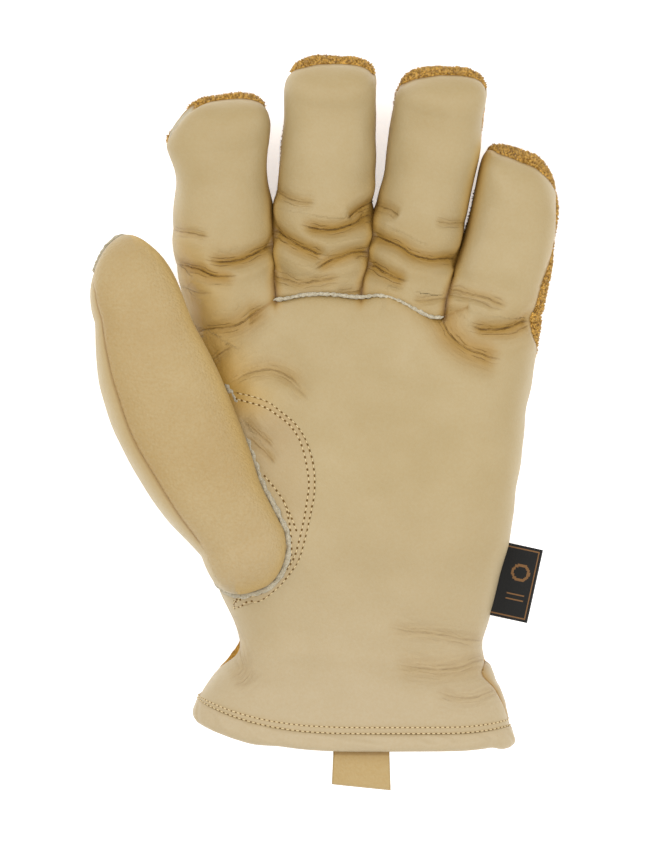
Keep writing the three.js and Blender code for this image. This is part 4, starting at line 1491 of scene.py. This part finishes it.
FRONT_FINGERS = {
    "middle_finger_front": (middle, (-30, 36, 8), (30, 146, 60)),
    "ring_finger_front": (ring, (8, 34, 8), (76, 146, 60)),
}
for name, (finger, low, high) in FRONT_FINGERS.items():
    skin = prepared(
        hand_side(finger), low, high, FINGER_GRID,
        less(front_value, CREAM_GAP), less(finger_panels, 0.1), nearest_finger(finger),
    )
    skins[name] = dress(skin, HAND_SEED, [finger], [front_value, under_fingers])

for name, side in (("thumb_front", less), ("thumb_back", opposite)):
    limit = side(thumb.above_seam, SEAM_GAP)
    skin = prepared(thumb.distance, (-100, -72, 14), (-4, 82, 72), THUMB_GRID, limit, outside_hand)
    skin = dress(skin, THUMB_SEED, [thumb], [thumb_seam_groove, palm_side], 0.5, 0.45)
    at_tip = easing((skin.points[:, 1] - 58) / 3) * easing((-74 - skin.points[:, 0]) / 2)
    skin.values["raw"] = 0.9 * at_tip * bell(thumb.above_seam(skin.points), 0.8)
    skins[name] = skin

hand_back = prepared(
    hand_side(*FINGERS), (-64, -121, -2), (94, 70, 40), BACK_GRID,
    opposite(front_value, CREAM_GAP), hem_value,
)


def dress_back(skin, seams):
    skin = dress(skin, HAND_SEED, [], seams)
    inwards = easing(-front_value(skin.points) / 6)
    return skin.moved(pleats(skin.points) + 0.35 * inwards * lumps(skin.points * 5, HAND_SEED))


below_waist = cuff_back_value(hand_back.points)
back_panel = dress_back(
    hand_back.keep(-below_waist - SEAM_GAP), [front_value, beyond_knuckles, cuff_back_value],
)
skins["back_panel"] = back_panel.keep(-beyond_knuckles(back_panel.points) - 0.2)
cuff_back = dress_back(hand_back.keep(below_waist - SEAM_GAP), [front_value, cuff_back_value])
at_little_side = cuff_back.points[:, 0] > 40
# Painted golden shade beside the front's seam, on the little finger's side
cuff_back.values["painted_shade"] = np.exp(front_value(cuff_back.points) / 1.8) * at_little_side
skins["cuff_back"] = cuff_back
for finger in FINGERS:
    x, y = finger.root
    skin = prepared(
        hand_side(finger), (x - 34, 36, -2), (x + 44, y + 110, 60), FINGER_BACK_GRID,
        opposite(front_value, CREAM_GAP), less(beyond_knuckles, 0.2), nearest_finger(finger),
    )
    skins[finger.name + "_back"] = dress_back(skin, [front_value, beyond_knuckles])
# At the index fingertip's left corner, where the suede's raw edge is turned out, the suede takes the raw
# edge's colour
corner = skins["index_back"].points
turned_out = easing((-49.0 - corner[:, 0]) / 2) * easing((corner[:, 1] - 102) / 3)
skins["index_back"].values["raw"] = turned_out * easing(1.4 + front_value(corner) / 1.8)


def patch_outline():
    """The crescent that backs the thumb's root: its curved edge, and a chord that the thumb hides."""
    return along_path(PATCH_EDGE, 90)


def patch_value(points):
    return inside_outline(points[:, :2], patch_outline())


patch = prepared(palm_side, (-50, -80, 20), (6, 20, 52), PATCH_GRID, patch_value, beside_thumb)
patch = dress(patch, HAND_SEED, PALM_LIMBS, [])
edge = patch_value(patch.points)
rounded = np.sqrt(1 - (1 - np.clip(edge, 0, 1)) ** 2)
# Painted shade along the patch's raised edge
patch.values["seam"] = 0.5 * np.exp(-edge / 0.6)
skins["thumb_patch"] = patch.moved(0.1 + 0.45 * rounded)

PANELS = {
    "palm_panel": cream,
    "middle_finger_front": cream,
    "ring_finger_front": cream,
    "thumb_front": thumb_cream,
    "thumb_back": thumb_side_lit,
    "back_panel": suede,
    "index_back": suede,
    "middle_back": suede,
    "ring_back": suede,
    "little_back": suede,
    "cuff_back": cream,
}
PATCH_WALL = 0.5


# Rows of stitches, and how the leather dips along them

PATCH_ROW = table(POINT, [
    (-32.7, 10.5), (-27.0, 9.1), (-21.3, 7.2), (-16.3, 3.8), (-12.5, 0.8), (-8.9, -3.8), (-6.5, -9.1),
    (-4.9, -15.6), (-4.2, -23.6), (-4.9, -29.3), (-6.1, -36.5), (-7.6, -43.3), (-10.1, -51.7),
    (-14.1, -57.8), (-18.8, -62.7), (-23.6, -66.1), (-29.3, -67.6), (-33.8, -69.5), (-36.9, -69.2),
])
WELT_ROW = table(POINT, [
    (-22.4, -20.1), (-18.2, -25.1), (-15.2, -29.8), (-13.6, -36.0), (-12.5, -44.5), (-12.5, -49.8),
    (-14.1, -54.3), (-17.1, -57.8), (-20.5, -60.8), (-23.9, -63.1), (-28.7, -65.0), (-35.0, -67.6),
])
CROSS_ROW = table(POINT, [(-15.2, -29.8), (-12.5, -35.7), (-10.3, -41.5)])
ROW_GAP = 1.75
PITCH = 2.3
HEM_PITCH = 1.9


def inset(rows, gap):
    """A path moved sideways to its right."""
    path = along_path(rows, 60)
    along = unit(np.gradient(path, axis=0))
    return path + gap * np.column_stack([along[:, 1], -along[:, 0]])


def let_down(plan, pitch):
    """Even places along a path in plan, on the palm."""
    return spaced(drop(palm_side, along_path(plan, 120)), pitch)


def round_cuff(along, pitch):
    """Even places round the cuff."""
    turn = np.linspace(0, 2 * math.pi, 700)
    return spaced(palm_point(along, turn, 0.3), pitch)


PATCH_ROWS = {
    "patch_outer": let_down(PATCH_ROW, PITCH),
    "patch_inner": let_down(inset(PATCH_ROW, ROW_GAP), PITCH),
    "by_the_welt": let_down(WELT_ROW, PITCH),
    "cross": let_down(CROSS_ROW, PITCH),
}
HEM_ROWS = {
    "hem_lower": round_cuff(-117.0, HEM_PITCH),
    "hem_upper": round_cuff(-114.7, HEM_PITCH),
}


def dip_along_rows(skin, rows, depth=0.3, width=0.9):
    """The leather is drawn in along its stitches."""
    gap = np.full(len(skin.points), OUT_OF_REACH)
    for row in rows.values():
        points = along_path(row, 3 * len(row))
        near = in_box(skin.points, points.min(0) - 4, points.max(0) + 4)
        for block in np.array_split(near, max(1, len(near) // 4000)):
            far = np.linalg.norm(skin.points[block, None, :] - points[None, :, :], axis=2).min(1)
            gap[block] = np.minimum(gap[block], far)
    # The dip along the stitches also gets painted shade in the leather's colour
    skin.values["seam"] = np.maximum(skin.values["seam"], 0.55 * bell(gap, width))
    return skin.moved(groove(gap, depth, width))


skins["thumb_patch"] = dip_along_rows(skins["thumb_patch"], PATCH_ROWS)
for name in ("palm_panel", "cuff_back"):
    skins[name] = dip_along_rows(skins[name], HEM_ROWS, 0.22)

for name, outer in PANELS.items():
    panel(name, skins[name], outer, "suede" if outer is suede else "cream_leather")
panel("thumb_patch", skins["thumb_patch"], patch_cream, "patch_leather", PATCH_WALL)


# The hem, rolled round the mouth

HEM_PROFILE = table("down grow", [
    (0.03, -0.9), (0.04, -0.15), (0.4, 0.08), (2.4, 0.5), (4.4, 0.65), (5.8, 0.1), (6.6, -1.1),
    (6.65, -2.3), (6.0, -3.5), (4.0, -4.1), (1.8, -4.0), (0.4, -3.4),
])
HEM_STEPS = 460
HEM_ROUND = 40
# How much wider the hem is towards both side seams
THUMB_SIDE_FULLER = 0.2
LITTLE_SIDE_FULLER = 0.24


def hem_skin():
    """The hem: a closed ring of profiles that stand square to the cuff's edge, with its faces outwards."""
    turn = np.linspace(0, 2 * math.pi, HEM_STEPS, endpoint=False)
    edge = palm_point(HEM_TOP, turn, 0.0, floor=-9.0)
    around = unit(np.roll(edge, -1, axis=0) - np.roll(edge, 1, axis=0))
    outward = gradient(palm.distance, edge)
    outward = unit(outward - around * (outward * around).sum(1)[:, None])
    down = np.cross(around, outward)
    down *= -np.sign(down[:, 1:2])
    edge += outward * lumps(edge, HAND_SEED)[:, None]
    at_thumb = THUMB_SIDE_FULLER * easing((-15 - edge[:, 0]) / 12)
    at_little = LITTLE_SIDE_FULLER * easing((edge[:, 0] - 62) / 6)
    fuller = 1 + at_thumb + at_little
    rings = []
    for below, grow in along_path(HEM_PROFILE, HEM_ROUND):
        swell = 0.14 * np.sin(turn * 23 + below) + 0.1 * np.sin(turn * 37 + 1.3 * below + 2)
        height = grow + swell * np.clip(below, 0, 2) / 2
        rings.append(edge + down * (below * fuller)[:, None] + outward * height[:, None])
    rings = np.stack(rings)
    a = np.arange(rings.shape[0] * rings.shape[1]).reshape(rings.shape[:2])
    b = np.roll(a, -1, axis=1)
    c, d = np.roll(a, -1, axis=0), np.roll(b, -1, axis=0)
    faces = np.concatenate([np.stack(three, -1).reshape(-1, 3) for three in ((a, b, d), (a, d, c))])
    points = rings.reshape(-1, 3)
    first, second, third = (points[faces[:, k]] for k in range(3))
    facing = np.cross(second - first, third - first)
    normal = np.zeros_like(points)
    for corner in range(3):
        np.add.at(normal, faces[:, corner], facing)
    normal = unit(normal, TINY)
    on_top = a[10]
    if (outward * normal[on_top]).sum() < 0:
        faces, normal = faces[:, ::-1], -normal
    return Skin(points, faces, {"normal": normal, "seam": np.zeros(len(points))})


hem = dip_along_rows(hem_skin(), HEM_ROWS, 0.2)
hem.points[:, 2] = np.maximum(hem.points[:, 2], 0)
finished("cuff_hem", hem.points, hem.faces, hem.values, [hem_cream])
skins["cuff_hem"] = hem


# The raw edges in the seams

ROUND_THE_ROOT = 13.0
WELT_STANDS = 0.38
FINGER_WELT_SUNK = 0.25


def carried_on(path, first, second, length):
    """A path along the meeting of two forms, carried on past its end by a length."""
    step = np.linalg.norm(np.diff(path, axis=0), axis=1).mean()
    points = list(path)
    ahead = path[-1] - path[-4]
    for _ in range(int(length / step)):
        here = points[-1][None, :]
        aim = np.cross(gradient(first, here), gradient(second, here))[0]
        aim *= np.sign(aim @ ahead) / np.linalg.norm(aim)
        points.append(between(here + step * aim, first, second, 4)[0])
        ahead = aim
    return np.array(points)


finger_path = drop(palm_side, along_path(FINGER_SEAM, 150)[3:-3])
bead("finger_welt", finger_path - (0, 0, FINGER_WELT_SUNK), (0.0, 0.25, 1.0), 0.72, 31)
thumb_path = between(drop(palm_side, along_path(THUMB_SEAM, 150)[2:-2]), palm_side, thumb.distance)
thumb_path = carried_on(thumb_path, palm_side, thumb.distance, ROUND_THE_ROOT)
thumb_up = gradient(palm_side, thumb_path) + gradient(thumb.distance, thumb_path)
bead("thumb_welt", thumb_path + WELT_STANDS * thumb_up, thumb_up, 1.15, 32)

TIP_SEAM = table(POINT, [(-88.6, 51.5), (-87.4, 57.5), (-84.6, 62.8), (-80.0, 67.4), (-74.6, 70.0)])
SEAM_END = table(POINT, [(-37.6, 14.6), (-36.4, 12.6), (-34.4, 9.8), (-32.4, 6.6)])
TIP_HEIGHT = 48.0
tip_plan = along_path(TIP_SEAM, 60)
tip_guess = np.column_stack([tip_plan, np.full(60, TIP_HEIGHT)])
tip_path = between(tip_guess, thumb.distance, thumb.above_seam, 30)
bead("thumb_tip_seam", tip_path, gradient(thumb.distance, tip_path), 0.66, 33, "thumb_back")
end_path = drop(palm_side, along_path(SEAM_END, 24))
bead("seam_end", end_path, (0.0, 0.2, 1.0), 0.95, 34, "thumb_welt")


# The stitches

thread_tree = grain_tree("thread", golden_thread)
# Dark grains that paint the shade of each needle hole
hole_tree = grain_tree("holes", needle_hole)
THREAD_HEIGHT = 0.08
HOLE_HEIGHT = 0.03
THREAD = {"Length": 1.5, "Width": 0.5, "Height": 0.4}
PATCH_HOLE = {"Length": 1.0, "Width": 0.85, "Height": 0.3}
HEM_HOLE = {"Length": 0.9, "Width": 0.5, "Height": 0.25}
for rows, node, hole, *below in (
    (PATCH_ROWS, "thumb_patch", PATCH_HOLE),
    (HEM_ROWS, "cuff_hem", HEM_HOLE, "palm_panel", "cuff_back"),
):
    surface = surface_of(*(skins[name] for name in (*below, node)))
    for name, row in rows.items():
        half_way = (row[1:] + row[:-1]) / 2
        repeated(name + "_thread", settle(half_way, surface), THREAD_HEIGHT, thread_tree, THREAD, [node])
        repeated(name + "_holes", settle(row, surface), HOLE_HEIGHT, hole_tree, hole, [node])


# The suede's nap, which shows along its edges and round the fingertips

nap_tree = fibre_tree("nap", suede_nap)
NAP = {"Density": 5.0e6, "Length": 1.25 * MM, "Width": 0.29 * MM, "Lean": 1.2}
NAP_REACH = 7.0
NAP_END = -70.0
NAP_LEAST_RAW = 0.02
NAP_SEED = 40


def napped(name, skin, seed):
    """Fibres on the part of a suede panel that lies by the front's edge."""
    rim = skin.keep(np.minimum(front_value(skin.points) + NAP_REACH, skin.points[:, 1] - NAP_END))
    if "raw" in rim.values:
        rim = rim.keep(NAP_LEAST_RAW - rim.values["raw"])
    base = new_mesh(name + "_nap_places", rim.points, rim.faces)
    piece = made_real(name + "_nap", base, nap_tree, NAP | {"Seed": seed})
    return belongs(piece, [name])


for number, name in enumerate(("index_back", "middle_back", "ring_back", "little_back", "back_panel")):
    napped(name, skins[name], NAP_SEED + number)


# The label and the hang tab

Strip = namedtuple("Strip", "reach tucked width thick slot columns steps")
LABEL = Strip(13.8, 1.8, 28.5, 0.5, 0.3, 58, 34)
TAB = Strip(12.5, 8.0, 21.2, 1.0, 0.9, 26, 26)
LABEL_PLACE = (66.6, -59.6, 21.6)
LABEL_LEAN = 12.3
TAB_X = 13.7
TAB_HEIGHT = 36.6


def folded(length, thick, slot, steps, turns=8):
    """The outline of a strip folded in two: out along the top, round the fold and back along the bottom."""
    outer, inner = slot / 2 + thick, slot / 2
    straight = np.linspace(0, length - outer, steps)
    angles = np.linspace(math.pi / 2, -math.pi / 2, turns + 2)[1:-1]
    rows = []
    for radius in (outer, inner):
        bend = np.column_stack([length - outer + radius * np.cos(angles), radius * np.sin(angles)])
        top = np.column_stack([straight, np.full(steps, radius)])
        bottom = np.column_stack([straight[::-1], np.full(steps, -radius)])
        rows.append(np.concatenate([top, bend, bottom]))
    return rows


def strip(sizes):
    """A folded strip as a closed mesh, with how far out and how far across each point lies."""
    outside, inside = folded(sizes.reach + sizes.tucked, sizes.thick, sizes.slot, sizes.steps)
    outline = np.concatenate([outside, inside[::-1]])
    across = np.linspace(-sizes.width / 2, sizes.width / 2, sizes.columns)
    points = np.array([(along - sizes.tucked, side, up) for side in across for along, up in outline])
    size = len(outline)
    faces = tube_faces(sizes.columns, size)
    for start, flip in ((0, True), ((sizes.columns - 1) * size, False)):
        for i in range(len(outside) - 1):
            quad = (start + i, start + i + 1, start + size - 2 - i, start + size - 1 - i)
            faces.append(quad[::-1] if flip else quad)
    return points, faces


label_points, label_faces = strip(LABEL)
out, side, up = label_points.T
bow = 0.5 * np.sin(out / LABEL.reach * math.pi) + 0.35 * np.sin(side / 9)
turn = math.radians(-LABEL_LEAN)
placed = np.column_stack([
    LABEL_PLACE[0] + out * math.cos(turn) - side * math.sin(turn),
    LABEL_PLACE[1] + out * math.sin(turn) + side * math.cos(turn),
    LABEL_PLACE[2] + up + bow * np.clip(out / 4, 0, 1),
])
label = finished("side_label", placed, label_faces, None, (black_tape, bronze_thread))
BORDER_INSET = 1.1
BORDER_WIDTH = 0.55
RING = (7.2, 4.0, 3.0)
RING_LINE = 0.5
BARS = (-4.6, -6.6)
BAR_HALF = (3.4, 0.4)


def on_border(x, y):
    """Whether a place on the label's face lies on its woven border, its ring or its bars."""
    inwards = min(LABEL.reach - x, LABEL.width / 2 - abs(y))
    on_frame = BORDER_INSET < inwards < BORDER_INSET + BORDER_WIDTH
    on_ring = abs(math.hypot(x - RING[0], y - RING[1]) - RING[2]) < RING_LINE
    on_bar = abs(x - RING[0]) < BAR_HALF[0] and any(abs(y - bar) < BAR_HALF[1] for bar in BARS)
    return on_frame or on_ring or on_bar


for face in label.data.polygons:
    x, y = label_points[list(face.vertices)][:, :2].mean(0)
    face.material_index = int(on_border(x, y))

tab_points, tab_faces = strip(TAB)
out, side, up = tab_points.T
past = np.maximum(out, 0)
shape = np.column_stack([
    TAB_X + side * (1 + 0.004 * past),
    MOUTH - out - 0.11 * np.clip(out / 10, 0, 1) * side,
    TAB_HEIGHT + up - 0.035 * past**1.6 + 0.25 * np.sin(side / 5 + out / 6),
])
# The tab's seam value paints shade where it comes out from under the hem
finished("hang_tab", shape, tab_faces, {"seam": np.exp(-past / 1.6)}, [tab_cream])


# The camera, the light and the floor

EYE_HEIGHT = 1.55
MIDDLE_HEIGHT = 0.026
# The photo's rows of pixels, and the millimetres that each stands for
PHOTO_ROWS = 845
PIXEL = 0.38
FRAME_HEIGHT = PHOTO_ROWS * PIXEL * MM
FLOOR_HALF = 3
FLOOR_DROP = 0.0002
WHITE = (1, 1, 1, 1)

floor_mesh = bpy.data.meshes.new("floor")
corners = [(x * FLOOR_HALF, y * FLOOR_HALF, 0) for x, y in ((-1, -1), (1, -1), (1, 1), (-1, 1))]
floor_mesh.from_pydata(corners, [], [(0, 1, 2, 3)])
floor = put_in("floor", floor_mesh)
floor.location.z = -FLOOR_DROP
pale = Finish("pale_floor", 0.9)
pale.give("Base Color", (0.97, 0.97, 0.97, 1))
pale.give("Emission Color", WHITE)
pale.give("Emission Strength", 0.45)
floor_mesh.materials.append(pale.material)

scene = bpy.context.scene
camera_data = bpy.data.cameras.new("camera")
camera_data.sensor_fit = "VERTICAL"
camera_data.angle = 2 * math.atan(FRAME_HEIGHT / 2 / (EYE_HEIGHT - MIDDLE_HEIGHT))
camera = put_in("camera", camera_data)
camera.location = (0, 0, EYE_HEIGHT)
scene.camera = camera

LIGHTS = table("name x y z size power", [
    ("overhead", 0.0, 0.15, 2.1, 1.5, 19.5),
    ("upper_left", -1.2, 0.9, 1.2, 1.0, 10.5),
    ("right", 1.3, 0.1, 1.1, 1.0, 7),
    ("lower", 0.1, -1.3, 1.2, 1.0, 6.5),
])
for light in LIGHTS:
    lamp = bpy.data.lights.new(light.name, "AREA")
    lamp.size = light.size
    lamp.energy = light.power
    made = put_in(light.name, lamp)
    made.location = (light.x, light.y, light.z)
    aim = Vector((0, 0, 0.02)) - made.location
    made.rotation_euler = aim.to_track_quat("-Z", "Y").to_euler()

world = bpy.data.worlds.new("studio")
world.use_nodes = True
sky = world.node_tree.nodes["Background"].inputs
sky["Color"].default_value = WHITE
sky["Strength"].default_value = 0.72
scene.world = world
scene.view_settings.view_transform = "Standard"
